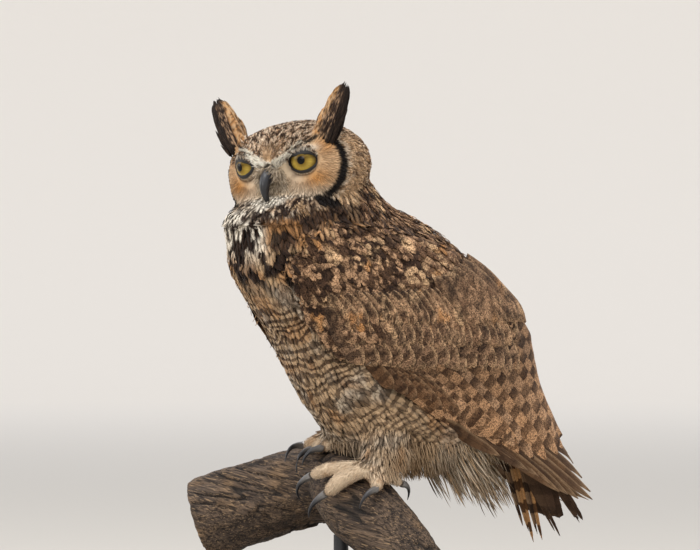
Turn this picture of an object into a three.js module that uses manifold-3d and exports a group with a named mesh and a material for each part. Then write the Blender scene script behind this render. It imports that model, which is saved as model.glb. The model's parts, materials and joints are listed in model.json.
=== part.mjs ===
// A great horned owl at life size, standing on a cut length of weathered branch over a display stand.
// Millimetres, +Z up. The owl's body faces -Y and its left side is +X.
// The origin is the centre of the stand's underside.
import * as THREE from "three";
import { mergeVertices } from "three/addons/utils/BufferGeometryUtils.js";
import Module from "manifold-3d";

const wasm = await Module();
wasm.setup();

// Driving dimensions
const gap = 0.3; // between pieces that touch
const layer = 3; // thickness of one layer of wing feathers
const bodySides = 20; // points round a body section
const wingSteps = 10; // rings along the wings' form
const neckSteps = 3;
const thinnest = 1; // least depth of a section that is shrunk
const sectionPower = 2.15; // 2 is an ellipse, more is squarer

// Sections of the body, set across a line from the neck to the vent: place, half width,
// and depth on the belly's side and on the back's side.
const bodyStations = [
  { y: -74, z: 394, half: 58, belly: 83, back: 46 },
  { y: -69, z: 366, half: 70, belly: 91, back: 76 },
  { y: -46, z: 327, half: 80, belly: 85, back: 96 },
  { y: 0, z: 273, half: 84, belly: 100, back: 114 },
  { y: 48, z: 222, half: 76, belly: 97, back: 104 },
  { y: 88, z: 188, half: 52, belly: 54, back: 58 },
  { y: 110, z: 168, half: 26, belly: 18, back: 20 },
];

// Sections of the outer form that the folded wings lie in, from the shoulder to the wing tips.
const wingStations = [
  { y: -74, z: 398, half: 60, belly: 92, back: 46 },
  { y: -69, z: 366, half: 75, belly: 95, back: 80 },
  { y: -46, z: 327, half: 86, belly: 90, back: 104 },
  { y: 0, z: 273, half: 90, belly: 104, back: 131 },
  { y: 50, z: 220, half: 80, belly: 94, back: 141 },
  { y: 95, z: 180, half: 63, belly: 62, back: 105 },
  { y: 145, z: 150, half: 50, belly: 34, back: 68 },
  { y: 190, z: 128, half: 39, belly: 16, back: 34 },
  { y: 228, z: 110, half: 28, belly: 11, back: 15 },
];

const head = {
  at: new THREE.Vector3(0, -87, 430),
  yaw: 27, // degrees, turned to its left
  pitch: 10, // looking down
  roll: 5, // left side up
  half: 72,
  face: 50, // depth in front of the centre
  nape: 66,
  crown: 45,
  chin: 48,
  facePower: 2.4, // 2 is an egg, more is squarer
  napePower: 1.95,
};
const disc = { x: 32, z: 12, radius: 40, rim: 3.5, rimWidth: 5, hollow: 9 };
const brow = { inner: [6, 3], outer: [48, 33], rise: 3.5, width: 6 };
const eye = { x: 31, z: 10, depth: 26.5, radius: 17 };
const tuft = { root: [40, -28, 20], tip: [77, -6, 77], half: 10, thick: 5 };

const neckStations = [
  { y: -78, z: 419, half: 50, belly: 22, back: 61 },
  { y: -78, z: 404, half: 63, belly: 60, back: 70 },
  { y: -78, z: 390, half: 66, belly: 77, back: 88 },
  { y: -78, z: 374, half: 67, belly: 86, back: 114 },
];

const perchPath = [
  { x: -150, y: -112, z: 93, r: 41 },
  { x: -96, y: -56, z: 119, r: 40 },
  { x: -40, y: -22, z: 132, r: 38 },
  { x: 10, y: -34, z: 117, r: 37 },
  { x: 56, y: -20, z: 85, r: 33 },
  { x: 88, y: -4, z: 47, r: 30 },
];
const perchSides = 14;
const claw = { root: 3.9 }; // half width at the root

const base = { radius: 140, height: 18, bevel: 4 };
const rod = { x: 4, y: -44, radius: 7, top: 100 };

const finish = {
  plumage: ["plumage", 0x7a6350, 0.9],
  crown: ["crown", 0x8d765c, 0.9],
  wing: ["wing", 0x6f5a48, 0.85],
  flight: ["flight feathers", 0x5d4a3b, 0.8],
  tuft: ["ear tuft", 0x3d3029, 0.9],
  eye: ["eye", 0xd0a92a, 0.15],
  horn: ["horn", 0x2c2c31, 0.35],
  foot: ["foot", 0xd9c6a5, 0.9],
  wood: ["weathered wood", 0x6e5c49, 0.95],
  stand: ["stand", 0x2d2c2b, 0.5],
};

const rad = THREE.MathUtils.degToRad;

// A solid from rings of points that run along a piece, closed at both ends.
function loft(rings) {
  const sides = rings[0].length;
  const points = rings.flat();
  const triangles = [];
  for (let k = 0; k + 1 < rings.length; k++) {
    for (let i = 0; i < sides; i++) {
      const [a, b] = [k * sides + i, k * sides + ((i + 1) % sides)];
      triangles.push(a, b, b + sides, a, b + sides, a + sides);
    }
  }
  for (const [ring, start, flip] of [
    [rings[0], 0, true],
    [rings.at(-1), (rings.length - 1) * sides, false],
  ]) {
    const middle = ring.reduce((sum, p) => sum.clone().add(p), new THREE.Vector3()).divideScalar(sides);
    const hub = points.push(middle) - 1;
    for (let i = 0; i < sides; i++) {
      const [a, b] = [start + i, start + ((i + 1) % sides)];
      triangles.push(...(flip ? [b, a, hub] : [a, b, hub]));
    }
  }
  return solidFrom(points, triangles);
}

function solidFrom(points, triangles) {
  const build = (order) =>
    new wasm.Manifold(
      new wasm.Mesh({
        numProp: 3,
        vertProperties: new Float32Array(points.flatMap((p) => [p.x, p.y, p.z])),
        triVerts: new Uint32Array(order),
      }),
    );
  const made = build(triangles);
  if (made.volume() > 0) return made;
  return build(triangles.toReversed());
}

// A three.js geometry as a solid, with its seams merged.
function solidOf(geometry) {
  const bare = geometry.clone();
  bare.deleteAttribute("normal");
  bare.deleteAttribute("uv");
  const merged = mergeVertices(bare, 1e-3);
  const at = merged.attributes.position;
  const points = Array.from({ length: at.count }, (_, i) => new THREE.Vector3().fromBufferAttribute(at, i));
  return solidFrom(points, Array.from(merged.index.array));
}

// One value of a row of stations, by a smooth curve through them; t runs from 0 to 1.
function between(stations, key, t) {
  const last = stations.length - 1;
  const f = THREE.MathUtils.clamp(t, 0, 1) * last;
  const i = Math.min(Math.floor(f), last - 1);
  const s = f - i;
  const v = (k) => stations[THREE.MathUtils.clamp(k, 0, last)][key];
  const [m0, m1] = [(v(i + 1) - v(i - 1)) / 2, (v(i + 2) - v(i)) / 2];
  const [s2, s3] = [s * s, s * s * s];
  const start = (2 * s3 - 3 * s2 + 1) * v(i) + (s3 - 2 * s2 + s) * m0;
  return start + (3 * s2 - 2 * s3) * v(i + 1) + (s3 - s2) * m1;
}

const signedPower = (value, power) => Math.sign(value) * Math.abs(value) ** power;

// A body form: sections across a line in the plane x = 0, grown outwards by grow.
function bodyForm(stations, { grow = 0, steps = 12, sides = bodySides } = {}) {
  const rings = [];
  for (let k = 0; k <= steps; k++) {
    const t = k / steps;
    const d = 0.01;
    const dy = between(stations, "y", t + d) - between(stations, "y", t - d);
    const dz = between(stations, "z", t + d) - between(stations, "z", t - d);
    const length = Math.hypot(dy, dz);
    const back = [-dz / length, dy / length]; // across the line, towards the back
    const shift = k === 0 ? -grow : k === steps ? grow : 0; // the ends grow along the line
    const [cy, cz] = [
      between(stations, "y", t) + (shift * dy) / length,
      between(stations, "z", t) + (shift * dz) / length,
    ];
    const ring = [];
    for (let i = 0; i < sides; i++) {
      const angle = (2 * Math.PI * i) / sides;
      const s = signedPower(Math.sin(angle), 2 / sectionPower);
      const depth = s * Math.max(between(stations, s > 0 ? "back" : "belly", t) + grow, thinnest);
      const x = signedPower(Math.cos(angle), 2 / sectionPower) * (between(stations, "half", t) + grow);
      ring.push(new THREE.Vector3(x, cy + depth * back[0], cz + depth * back[1]));
    }
    rings.push(ring);
  }
  return loft(rings);
}

// A plate in the side view, given by a smooth or straight outline of [y, z], from x = low to x = high.
function sidePrism(outline, low, high) {
  const shape = new THREE.Shape(outline.map(([y, z]) => new THREE.Vector2(y, z)));
  const prism = new THREE.ExtrudeGeometry(shape, { depth: high - low, bevelEnabled: false });
  // the shape's X, Y and depth become Y, Z and X
  prism.applyMatrix4(new THREE.Matrix4().makeBasis(
    new THREE.Vector3(0, 1, 0),
    new THREE.Vector3(0, 0, 1),
    new THREE.Vector3(1, 0, 0),
  ));
  prism.translate(low, 0, 0);
  return solidOf(prism);
}

// Rounded feather ends along the line from a to b, each count-th part bulging by depth to the line's left.
function featherEnds(a, b, count, depth, steps = 3) {
  const [dy, dz] = [b[0] - a[0], b[1] - a[1]];
  const length = Math.hypot(dy, dz);
  const points = [];
  for (let f = 0; f < count; f++) {
    for (let k = 0; k < steps; k++) {
      const s = k / steps;
      const bulge = depth * Math.sin(Math.PI * s) ** 0.6;
      const along = (f + s) / count;
      points.push([a[0] + dy * along - (dz / length) * bulge, a[1] + dz * along + (dy / length) * bulge]);
    }
  }
  return points;
}

// Outlines of the three layers of a folded wing in the side view, as [y, z].
const wingOutlines = {
  coverts: [
    [-128, 336], [-118, 362], [-92, 378], [-40, 374], [30, 362], [84, 330], [112, 298],
    ...featherEnds([126, 262], [-52, 238], 9, -7),
    [-76, 248], [-108, 284],
  ],
  secondaries: [
    [-60, 262], [60, 330], [112, 298], [150, 262], [176, 214],
    ...featherEnds([190, 176], [96, 168], 5, -7),
    [10, 208], [-34, 224],
  ],
  primaries: [
    [-10, 222], [60, 240], [140, 206], [184, 176], [214, 138],
    ...featherEnds([219, 113], [178, 128], 3, -3),
    [120, 152], [60, 180], [4, 206],
  ],
};
const wingReach = 160; // beyond the widest part of the body
const depthOf = { coverts: 0, secondaries: 1, primaries: 2 };

function wingLayer(name, side) {
  const outer = -depthOf[name] * (layer + gap);
  const shell = bodyForm(wingStations, { grow: outer, steps: wingSteps })
    .subtract(bodyForm(wingStations, { grow: outer - layer, steps: wingSteps }));
  const [low, high] = side > 0 ? [gap / 2, wingReach] : [-wingReach, -gap / 2];
  return shell.intersect(sidePrism(wingOutlines[name], low, high));
}

// The head about its own centre: a squared egg with the two discs of the face, the brows and eye hollows.
function headForm(grow = 0) {
  const ball = new THREE.SphereGeometry(1, 25, 17).rotateX(Math.PI / 2);
  const at = ball.attributes.position;
  const p = new THREE.Vector3();
  for (let i = 0; i < at.count; i++) {
    p.fromBufferAttribute(at, i);
    const size = [head.half, p.y < 0 ? head.face : head.nape, p.z > 0 ? head.crown : head.chin];
    const towardsFace = THREE.MathUtils.smoothstep(-p.y, -0.5, 0.4);
    const power = THREE.MathUtils.lerp(head.napePower, head.facePower, towardsFace);
    const sum = [p.x, p.y, p.z].reduce((s, v, k) => s + Math.abs(v / size[k]) ** power, 0);
    p.multiplyScalar(1 / sum ** (1 / power));
    const front = THREE.MathUtils.smoothstep(-p.y, 5, 25);
    const x = Math.abs(p.x);
    const fromEye = Math.hypot(x - disc.x, p.z - disc.z);
    const rim = disc.rim * Math.exp(-(((fromEye - disc.radius) / disc.rimWidth) ** 2));
    const hollow = disc.hollow * Math.exp(-((fromEye / 22) ** 2));
    const [ax, az] = brow.inner;
    const [bx, bz] = [brow.outer[0] - ax, brow.outer[1] - az];
    const along = THREE.MathUtils.clamp(((x - ax) * bx + (p.z - az) * bz) / (bx * bx + bz * bz), 0, 1);
    const fromBrow = Math.hypot(x - ax - along * bx, p.z - az - along * bz);
    const ridge = brow.rise * Math.exp(-((fromBrow / brow.width) ** 2));
    const out = grow + front * (rim + ridge - hollow);
    p.addScaledVector(p.clone().normalize(), out);
    at.setXYZ(i, p.x, p.y, p.z);
  }
  return solidOf(ball);
}

const headPlace = new THREE.Matrix4().compose(
  head.at,
  new THREE.Quaternion().setFromEuler(new THREE.Euler(rad(head.pitch), rad(-head.roll), rad(head.yaw), "ZXY")),
  new THREE.Vector3(1, 1, 1),
);
const inPlace = (solid) => solid.transform(headPlace.elements);

function ball(radius, x, y, z, scale = [1, 1, 1], detail = [10, 7]) {
  return solidOf(new THREE.SphereGeometry(radius, ...detail).scale(...scale).translate(x, y, z));
}

// A tapered round or oval limb through points, each with a half width a (across) and b (along up).
function limb(points, sides, steps, up = new THREE.Vector3(0, 0.2, 1)) {
  const rings = [];
  for (let k = 0; k <= steps; k++) {
    const t = k / steps;
    const place = (s) => new THREE.Vector3(...["x", "y", "z"].map((key) => between(points, key, s)));
    const along = place(t + 0.01).sub(place(t - 0.01)).normalize();
    const across = new THREE.Vector3().crossVectors(along, up).normalize();
    const lift = new THREE.Vector3().crossVectors(across, along);
    const ring = [];
    for (let i = 0; i < sides; i++) {
      const angle = (2 * Math.PI * i) / sides;
      ring.push(place(t)
        .addScaledVector(across, Math.cos(angle) * between(points, "a", t))
        .addScaledVector(lift, Math.sin(angle) * between(points, "b", t)));
    }
    rings.push(ring);
  }
  return loft(rings);
}

const grown = (points, grow) => points.map((p) => ({ ...p, a: p.a + grow, b: p.b + grow }));

// The upper bill curves forward and down to its hook; the lower one lies behind it.
const billPath = [
  { x: 0, y: -38, z: 1, a: 8.5, b: 9 },
  { x: 0, y: -49, z: 1, a: 7.5, b: 9 },
  { x: 0, y: -57, z: -4, a: 6, b: 7.5 },
  { x: 0, y: -60, z: -13, a: 4, b: 5.5 },
  { x: 0, y: -58, z: -22, a: 2, b: 3 },
  { x: 0, y: -56.5, z: -28, a: 0.5, b: 0.6 },
];
const lowerBillPath = [
  { x: 0, y: -34, z: -12, a: 7, b: 3.5 },
  { x: 0, y: -45, z: -15, a: 5, b: 3 },
  { x: 0, y: -52, z: -19, a: 1.4, b: 1.2 },
];
const sideways = new THREE.Vector3(1, 0, 0);
const bill = (grow = 0) => {
  const path = grown(billPath, grow).map((p) => ({ ...p, a: p.b, b: p.a }));
  return limb(path, 6, 6, sideways);
};
const lowerBill = (grow = 0) =>
  limb(grown(lowerBillPath, grow).map((p) => ({ ...p, a: p.b, b: p.a })), 6, 3, sideways);

function earTuft(side) {
  const [root, tip] = [tuft.root, tuft.tip].map(([x, y, z]) => new THREE.Vector3(side * x, y, z));
  const widths = [[0, 0.8], [0.3, 1], [0.6, 1], [0.82, 0.75], [0.95, 0.4], [1, 0.08]];
  const points = widths.map(([t, w]) => {
    const p = root.clone().lerp(tip, t);
    p.x -= side * 5 * Math.sin(Math.PI * t); // the tuft bows outwards at its tip
    return { x: p.x, y: p.y, z: p.z, a: tuft.half * w, b: tuft.thick * w };
  });
  return limb(points, 6, 6, new THREE.Vector3(0, 1, 0));
}

// The branch: a gnarled round limb of wood. A place on it is a share of its length and an angle in
// degrees from its top round towards the front, lifted off the wood.
function onPerch(t, degrees, lift = 0) {
  const place = (s) => new THREE.Vector3(...["x", "y", "z"].map((key) => between(perchPath, key, s)));
  const along = place(t + 0.01).sub(place(t - 0.01)).normalize();
  const front = new THREE.Vector3().crossVectors(along, new THREE.Vector3(0, 0, 1)).normalize();
  const top = new THREE.Vector3().crossVectors(front, along);
  const angle = rad(degrees);
  const knots = 1 + 0.05 * Math.sin(3 * angle + 9 * t) + 0.04 * Math.sin(5 * angle - 14 * t + 1);
  const r = between(perchPath, "r", t) * knots + lift;
  return place(t).addScaledVector(front, Math.sin(angle) * r).addScaledVector(top, Math.cos(angle) * r);
}

function perchForm(grow = 0) {
  const steps = 10;
  const along = (t) => onPerch(t, 0, 0).sub(onPerch(t - 0.01, 0, 0)).normalize();
  const rings = Array.from({ length: steps + 1 }, (_, k) => {
    const shift = k === 0 ? -grow : k === steps ? grow : 0;
    return Array.from({ length: perchSides }, (_, i) =>
      onPerch(k / steps, (360 * i) / perchSides, grow).addScaledVector(along(k / steps), shift));
  });
  return loft(rings);
}

// Feet: each toe lies on the branch from its root to its knuckle, and the claw curves on from there.
const toes = {
  left: {
    root: [0.67, 8],
    middle: { to: [0.63, 74], claw: [0.62, 108], rise: 15, r: 9 },
    inner: { to: [0.565, 62], claw: [0.55, 98], rise: 10, r: 8 },
    outer: { to: [0.725, 32], claw: [0.735, 66], rise: 8, r: 8 },
    hind: { to: [0.7, -30], claw: [0.71, -64], rise: 9, r: 7.5 },
  },
  right: {
    root: [0.42, 6],
    middle: { to: [0.39, 46], claw: [0.37, 80], rise: 12, r: 9 },
    inner: { to: [0.47, 34], claw: [0.49, 64], rise: 10, r: 8 },
    outer: { to: [0.32, 28], claw: [0.29, 60], rise: 10, r: 8 },
    hind: { to: [0.4, -44], claw: [0.395, -80], rise: 9, r: 7.5 },
  },
};
const toeNames = ["middle", "inner", "outer", "hind"];

function toePath(foot, toe) {
  const shares = [0, 0.35, 0.7, 0.92, 1];
  return shares.map((t, i) => {
    const r = toe.r * [1.1, 0.95, 1, 0.85, 0.5][i];
    const [s, angle] = foot.root.map((v, k) => THREE.MathUtils.lerp(v, toe.to[k], t));
    const p = onPerch(s, angle, toe.r * [1.25, 1, 0.9, 0.8, 0.8][i]);
    return { x: p.x, y: p.y, z: p.z, a: r, b: r * 0.95 };
  });
}

function clawPath(toe) {
  return [0, 0.25, 0.5, 0.75, 1].map((t) => {
    const [s, angle] = toe.to.map((v, k) => THREE.MathUtils.lerp(v, toe.claw[k], t));
    const p = onPerch(s, angle, THREE.MathUtils.lerp(toe.r * 0.9, toe.rise, t) + 5 * Math.sin(Math.PI * t));
    const r = claw.root * (1 - 0.88 * t);
    return { x: p.x, y: p.y, z: p.z, a: r, b: r * 1.15 };
  });
}

const hip = { x: 32, y: 0, z: 206 };
const legRadii = [[0, 28], [0.4, 27], [0.78, 21], [1, 13]];

function legPath(foot, side, grow = 0) {
  const ankle = onPerch(foot.root[0], foot.root[1], 8);
  const top = new THREE.Vector3(side * hip.x, hip.y, hip.z);
  return legRadii.map(([t, radius]) => {
    const p = top.clone().lerp(ankle, t);
    return { x: p.x, y: p.y, z: p.z, a: radius + grow, b: radius + grow };
  });
}

// The tail: two flat sheets of feathers in a low roof, with the feathers' ends along their far edge.
const tail = {
  root: new THREE.Vector3(0, 92, 212),
  tip: new THREE.Vector3(4, 183, 70),
  roll: 9, // degrees, left side up
  rootHalf: 18,
  middleHalf: 30,
  tipHalf: 40,
  slope: 9, // degrees that each sheet falls away from the middle
  thick: 6,
};
// One outer feather stands a little off the others.
const loose = { width: 17, length: 160, turn: 13, lift: 8, x: 14, thick: 2 };

const tailLength = tail.tip.distanceTo(tail.root);
const tailAlong = tail.tip.clone().sub(tail.root).normalize();
const tailUp = new THREE.Vector3().crossVectors(sideways, tailAlong);
const tailPlace = new THREE.Matrix4().makeBasis(sideways, tailAlong, tailUp).setPosition(tail.root)
  .multiply(new THREE.Matrix4().makeRotationY(-rad(tail.roll)));

function plate(outline, thick) {
  const shape = new THREE.Shape(outline.map(([x, y]) => new THREE.Vector2(x, y)));
  return new THREE.ExtrudeGeometry(shape, { depth: thick, bevelEnabled: false });
}

function tailSheet(side) {
  const outline = [
    [-1, 0], [tail.rootHalf, 0], [tail.middleHalf, tailLength * 0.5], [tail.tipHalf, tailLength - 20],
    ...featherEnds([tail.tipHalf, tailLength - 12], [-1, tailLength - 5], 5, -6),
    [-1, tailLength - 7 + 2 * side],
  ];
  const sheet = plate(outline.map(([x, y]) => [side * x, y]), tail.thick);
  sheet.translate(0, 0, side * 0.3 - tail.thick);
  return solidOf(sheet.rotateY(side * rad(tail.slope)).applyMatrix4(tailPlace));
}

function tailForm() {
  // the fluffy coverts under the tail's root
  const under = limb([
    { x: 0, y: 72, z: 190, a: 34, b: 26 },
    { x: 0, y: 96, z: 164, a: 30, b: 22 },
    { x: 0, y: 118, z: 132, a: 20, b: 12 },
    { x: 0, y: 131, z: 102, a: 10, b: 4 },
  ], 8, 4, tailUp);
  return tailSheet(1).add(tailSheet(-1)).add(under);
}

function looseFeather() {
  const half = [[0.28, 0], [0.5, 0.5], [0.42, 0.93]].map(([x, y]) => [x * loose.width, y * loose.length]);
  const outline = [...half.map(([x, y]) => [-x, y]), [0, loose.length], ...half.toReversed()];
  const feather = plate(outline, loose.thick).rotateX(rad(loose.lift)).rotateZ(-rad(loose.turn));
  return solidOf(feather.translate(loose.x, 0, 0).applyMatrix4(tailPlace));
}

function baseForm() {
  const { radius, height, bevel } = base;
  const profile = [[0, 0], [radius, 0], [radius, height - bevel], [radius - bevel, height], [0, height]];
  const points = profile.map(([r, z]) => new THREE.Vector2(r, z));
  return solidOf(new THREE.LatheGeometry(points, 32).rotateX(Math.PI / 2));
}

const group = new THREE.Group();

function addMesh(name, solid, [label, color, roughness]) {
  const { vertProperties, triVerts } = solid.getMesh();
  const geometry = new THREE.BufferGeometry()
    .setAttribute("position", new THREE.BufferAttribute(vertProperties, 3))
    .setIndex(new THREE.BufferAttribute(triVerts, 1));
  geometry.computeVertexNormals();
  const material = new THREE.MeshStandardMaterial({ name: label, color, roughness, metalness: 0 });
  const mesh = new THREE.Mesh(geometry, material);
  mesh.name = name;
  group.add(mesh);
}

// The largest of a solid's separate bodies, without slivers that a cut leaves.
const largest = (solid) => solid.decompose().sort((a, b) => b.volume() - a.volume())[0];

const sides = [["left", 1], ["right", -1]];

// Legs, toes and claws; the trunk is cut to leave room for them
const wood = perchForm(gap);
let footRoom = wood;
for (const [label, side] of sides) {
  const foot = toes[label];
  const legGrown = limb(legPath(foot, side, gap), 8, 3);
  addMesh(`leg_${label}`, largest(limb(legPath(foot, side), 8, 3).subtract(wood)), finish.foot);
  let taken = legGrown.add(wood);
  for (const name of toeNames) {
    const path = toePath(foot, foot[name]);
    const pathGrown = limb(grown(path, gap), 6, 4);
    const nail = limb(clawPath(foot[name]), 5, 4).subtract(wood).subtract(pathGrown);
    if (name === "hind") footRoom = footRoom.add(limb(grown(clawPath(foot[name]), gap), 5, 4));
    addMesh(`toe_${label}_${name}`, largest(limb(path, 6, 4).subtract(taken)), finish.foot);
    addMesh(`claw_${label}_${name}`, largest(nail), finish.horn);
    taken = taken.add(pathGrown);
  }
  footRoom = footRoom.add(taken);
}

// Body
const wingCut = Object.values(wingOutlines)
  .map((outline) => sidePrism(outline, -wingReach, wingReach))
  .reduce((all, prism) => all.add(prism))
  .subtract(bodyForm(wingStations, { grow: -3 * (layer + gap), steps: wingSteps }));
const trunk = bodyForm(bodyStations).subtract(wingCut).subtract(footRoom);
const trunkGrown = bodyForm(bodyStations, { grow: gap }).add(bodyForm(bodyStations).translate([0, 0, gap]));
const neck = bodyForm(neckStations, { steps: neckSteps }).subtract(trunkGrown)
  .subtract(inPlace(bill(gap).add(lowerBill(gap))))
  .subtract(sidePrism(wingOutlines.coverts, -wingReach, wingReach));
addMesh("trunk", largest(trunk), finish.plumage);
addMesh("neck", largest(neck), finish.plumage);

// Head
const eyeBall = (side, grow = 0) => ball(eye.radius + grow, side * eye.x, -eye.depth, eye.z);
let skull = headForm();
for (const [, side] of sides) skull = skull.subtract(eyeBall(side, gap));
skull = inPlace(skull.subtract(bill(gap)).subtract(lowerBill(gap)));
skull = skull.subtract(trunkGrown).subtract(bodyForm(neckStations, { grow: gap, steps: neckSteps }));
addMesh("head", largest(skull), finish.crown);
const lowerPart = lowerBill().subtract(bill(gap));
addMesh("bill_upper", inPlace(bill()), finish.horn);
addMesh("bill_lower", inPlace(largest(lowerPart)), finish.horn);
for (const [label, side] of sides) {
  addMesh("eye_" + label, inPlace(eyeBall(side)), finish.eye);
  addMesh("ear_tuft_" + label, inPlace(largest(earTuft(side).subtract(headForm(gap)))), finish.tuft);
}

// Wings
for (const [label, side] of sides) {
  addMesh(`wing_${label}_coverts`, largest(wingLayer("coverts", side)), finish.wing);
  addMesh(`wing_${label}_secondaries`, largest(wingLayer("secondaries", side)), finish.flight);
  addMesh(`wing_${label}_primaries`, largest(wingLayer("primaries", side)), finish.flight);
}

// Tail
const primariesPrism = sidePrism(wingOutlines.primaries, 0, wingReach);
const looseRoom = bodyForm(wingStations, { grow: gap }).intersect(primariesPrism);
const outerFeather = looseFeather().subtract(trunkGrown).subtract(tailForm()).subtract(looseRoom);
addMesh("tail", largest(tailForm().subtract(trunkGrown)), finish.flight);
addMesh("tail_loose_feather", largest(outerFeather), finish.flight);

// Branch and stand
addMesh("perch", perchForm(), finish.wood);
const post = solidOf(new THREE.CylinderGeometry(rod.radius, rod.radius, rod.top - base.height - gap, 16)
  .rotateX(Math.PI / 2).translate(rod.x, rod.y, (rod.top + base.height + gap) / 2));
addMesh("stand_rod", largest(post.subtract(perchForm(gap))), finish.stand);
addMesh("stand_base", baseForm(), finish.stand);

export default group;
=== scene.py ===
import json
import math

import bmesh
import bpy
import numpy as np
from mathutils import Matrix, Vector
from mathutils.bvhtree import BVHTree
from mathutils.kdtree import KDTree

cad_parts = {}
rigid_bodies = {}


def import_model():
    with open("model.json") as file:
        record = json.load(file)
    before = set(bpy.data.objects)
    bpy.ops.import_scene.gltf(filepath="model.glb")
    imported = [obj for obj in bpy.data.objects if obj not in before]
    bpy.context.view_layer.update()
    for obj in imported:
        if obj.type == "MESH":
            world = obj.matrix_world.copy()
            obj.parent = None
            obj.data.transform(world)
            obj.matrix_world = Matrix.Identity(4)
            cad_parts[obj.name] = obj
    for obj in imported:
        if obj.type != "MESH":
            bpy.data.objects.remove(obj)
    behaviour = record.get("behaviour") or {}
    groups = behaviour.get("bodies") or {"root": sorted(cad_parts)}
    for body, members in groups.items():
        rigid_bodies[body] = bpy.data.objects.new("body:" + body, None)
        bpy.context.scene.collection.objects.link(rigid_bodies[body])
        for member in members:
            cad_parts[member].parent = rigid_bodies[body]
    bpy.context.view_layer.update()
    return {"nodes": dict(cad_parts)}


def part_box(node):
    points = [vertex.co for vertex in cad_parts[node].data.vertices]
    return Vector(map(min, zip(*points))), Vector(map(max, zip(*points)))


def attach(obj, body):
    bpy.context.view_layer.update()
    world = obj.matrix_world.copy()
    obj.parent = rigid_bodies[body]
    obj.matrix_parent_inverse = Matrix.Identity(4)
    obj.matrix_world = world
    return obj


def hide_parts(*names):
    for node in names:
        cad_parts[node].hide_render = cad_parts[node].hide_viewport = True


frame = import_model()
nodes = frame["nodes"]
coarse = 1.0

print("camera")
view = {"azimuth": 62, "distance": 6.0, "aside": -0.0285, "height": 0.3293, "lens": 324.8}
turn = math.radians(view["azimuth"])
across = Vector((math.cos(turn), math.sin(turn), 0))
towards = Vector((math.sin(turn), -math.cos(turn), 0))
cameraData = bpy.data.cameras.new("camera")
cameraData.lens = view["lens"]
cameraData.clip_end = 60
camera = bpy.data.objects.new("camera", cameraData)
camera.location = across * view["aside"] + towards * view["distance"] + Vector((0, 0, view["height"]))
camera.rotation_euler = (math.radians(90), 0, turn)
bpy.context.scene.collection.objects.link(camera)
bpy.context.scene.camera = camera


# small helpers for numbers and arrays

def ease(low, high, value):
    share = np.clip((value - low) / (high - low), 0, 1)
    return share * share * (3 - 2 * share)


def unit(vectors):
    return vectors / np.maximum(np.linalg.norm(vectors, axis=-1, keepdims=True), 1e-9)


def blendTo(first, second, share):
    return first + (second - first) * share[..., None]


def mixHue(first, second, share):
    return first + (second - first) * share


def grain(points, size, seed):
    # smooth random numbers from 0 to 1 that change over about one size
    place = points / size + seed * 7.31
    cell = np.floor(place).astype(np.int64)
    part = place - cell
    part = part * part * (3 - 2 * part)
    total = np.zeros(len(points))
    for corner in range(8):
        step = np.array([corner & 1, corner >> 1 & 1, corner >> 2 & 1])
        key = ((cell + step) * np.array([73856093, 19349663, 83492791])).sum(1) & 0xFFFFFFFF
        key = ((key ^ (key >> 15)) * 2246822519) & 0xFFFFFFFF
        key = ((key ^ (key >> 13)) * 3266489917) & 0xFFFFFFFF
        weight = np.where(step == 1, part, 1 - part).prod(1)
        total += weight * ((key ^ (key >> 16)) / 0xFFFFFFFF)
    return total


def roughGrain(points, size, seed):
    return (grain(points, size, seed) * 0.55 + grain(points, size * 0.47, seed + 3) * 0.3
            + grain(points, size * 0.22, seed + 5) * 0.15)


def tone(red, green, blue):
    return np.array([(c / 255) ** 2.2 for c in (red, green, blue)])


hues = {
    "black": tone(34, 29, 27),
    "umber": tone(60, 46, 38),
    "brown": tone(104, 79, 61),
    "greyBrown": tone(130, 107, 88),
    "fawn": tone(178, 144, 113),
    "buff": tone(206, 173, 135),
    "tawny": tone(204, 150, 98),
    "orange": tone(214, 152, 84),
    "cream": tone(226, 208, 184),
    "white": tone(250, 240, 222),
    "lore": tone(222, 200, 168),
    "toe": tone(240, 214, 182),
    "disc": tone(222, 186, 146),
}

# where the head sits and which way it looks
headPlace = (Matrix.Translation((0, -0.087, 0.430)) @ Matrix.Rotation(math.radians(27), 4, "Z")
             @ Matrix.Rotation(math.radians(10), 4, "X") @ Matrix.Rotation(math.radians(-5), 4, "Y"))
headArray = np.array(headPlace)
headBack = np.array(headPlace.inverted())


def toHead(points):
    return (points @ headBack[:3, :3].T + headBack[:3, 3]) * 1000


def turnHead(vectors):
    return vectors @ headArray[:3, :3].T


def linkMesh(name, mesh):
    piece = bpy.data.objects.new(name, mesh)
    bpy.context.scene.collection.objects.link(piece)
    return piece


def meshFrom(work, name):
    mesh = bpy.data.meshes.new(name)
    work.to_mesh(mesh)
    work.free()
    return mesh


def copyOf(name, nodeNames):
    work = bmesh.new()
    for node in nodeNames:
        work.from_mesh(nodes[node].data)
    bmesh.ops.remove_doubles(work, verts=work.verts, dist=1e-5)
    return linkMesh(name, meshFrom(work, name))


def applied(piece):
    # bakes the live modifiers into the mesh
    graph = bpy.context.evaluated_depsgraph_get()
    mesh = bpy.data.meshes.new_from_object(piece.evaluated_get(graph))
    piece.modifiers.clear()
    old = piece.data
    piece.data = mesh
    bpy.data.meshes.remove(old)
    piece.data.name = piece.name
    return piece


def closedOver(piece, voxel, turns):
    # one even closed surface over the piece's parts, softened
    close = piece.modifiers.new("close", "REMESH")
    close.mode = "VOXEL"
    close.voxel_size = voxel
    soften = piece.modifiers.new("soften", "SMOOTH")
    soften.factor = 0.5
    soften.iterations = turns
    return applied(piece)


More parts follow.
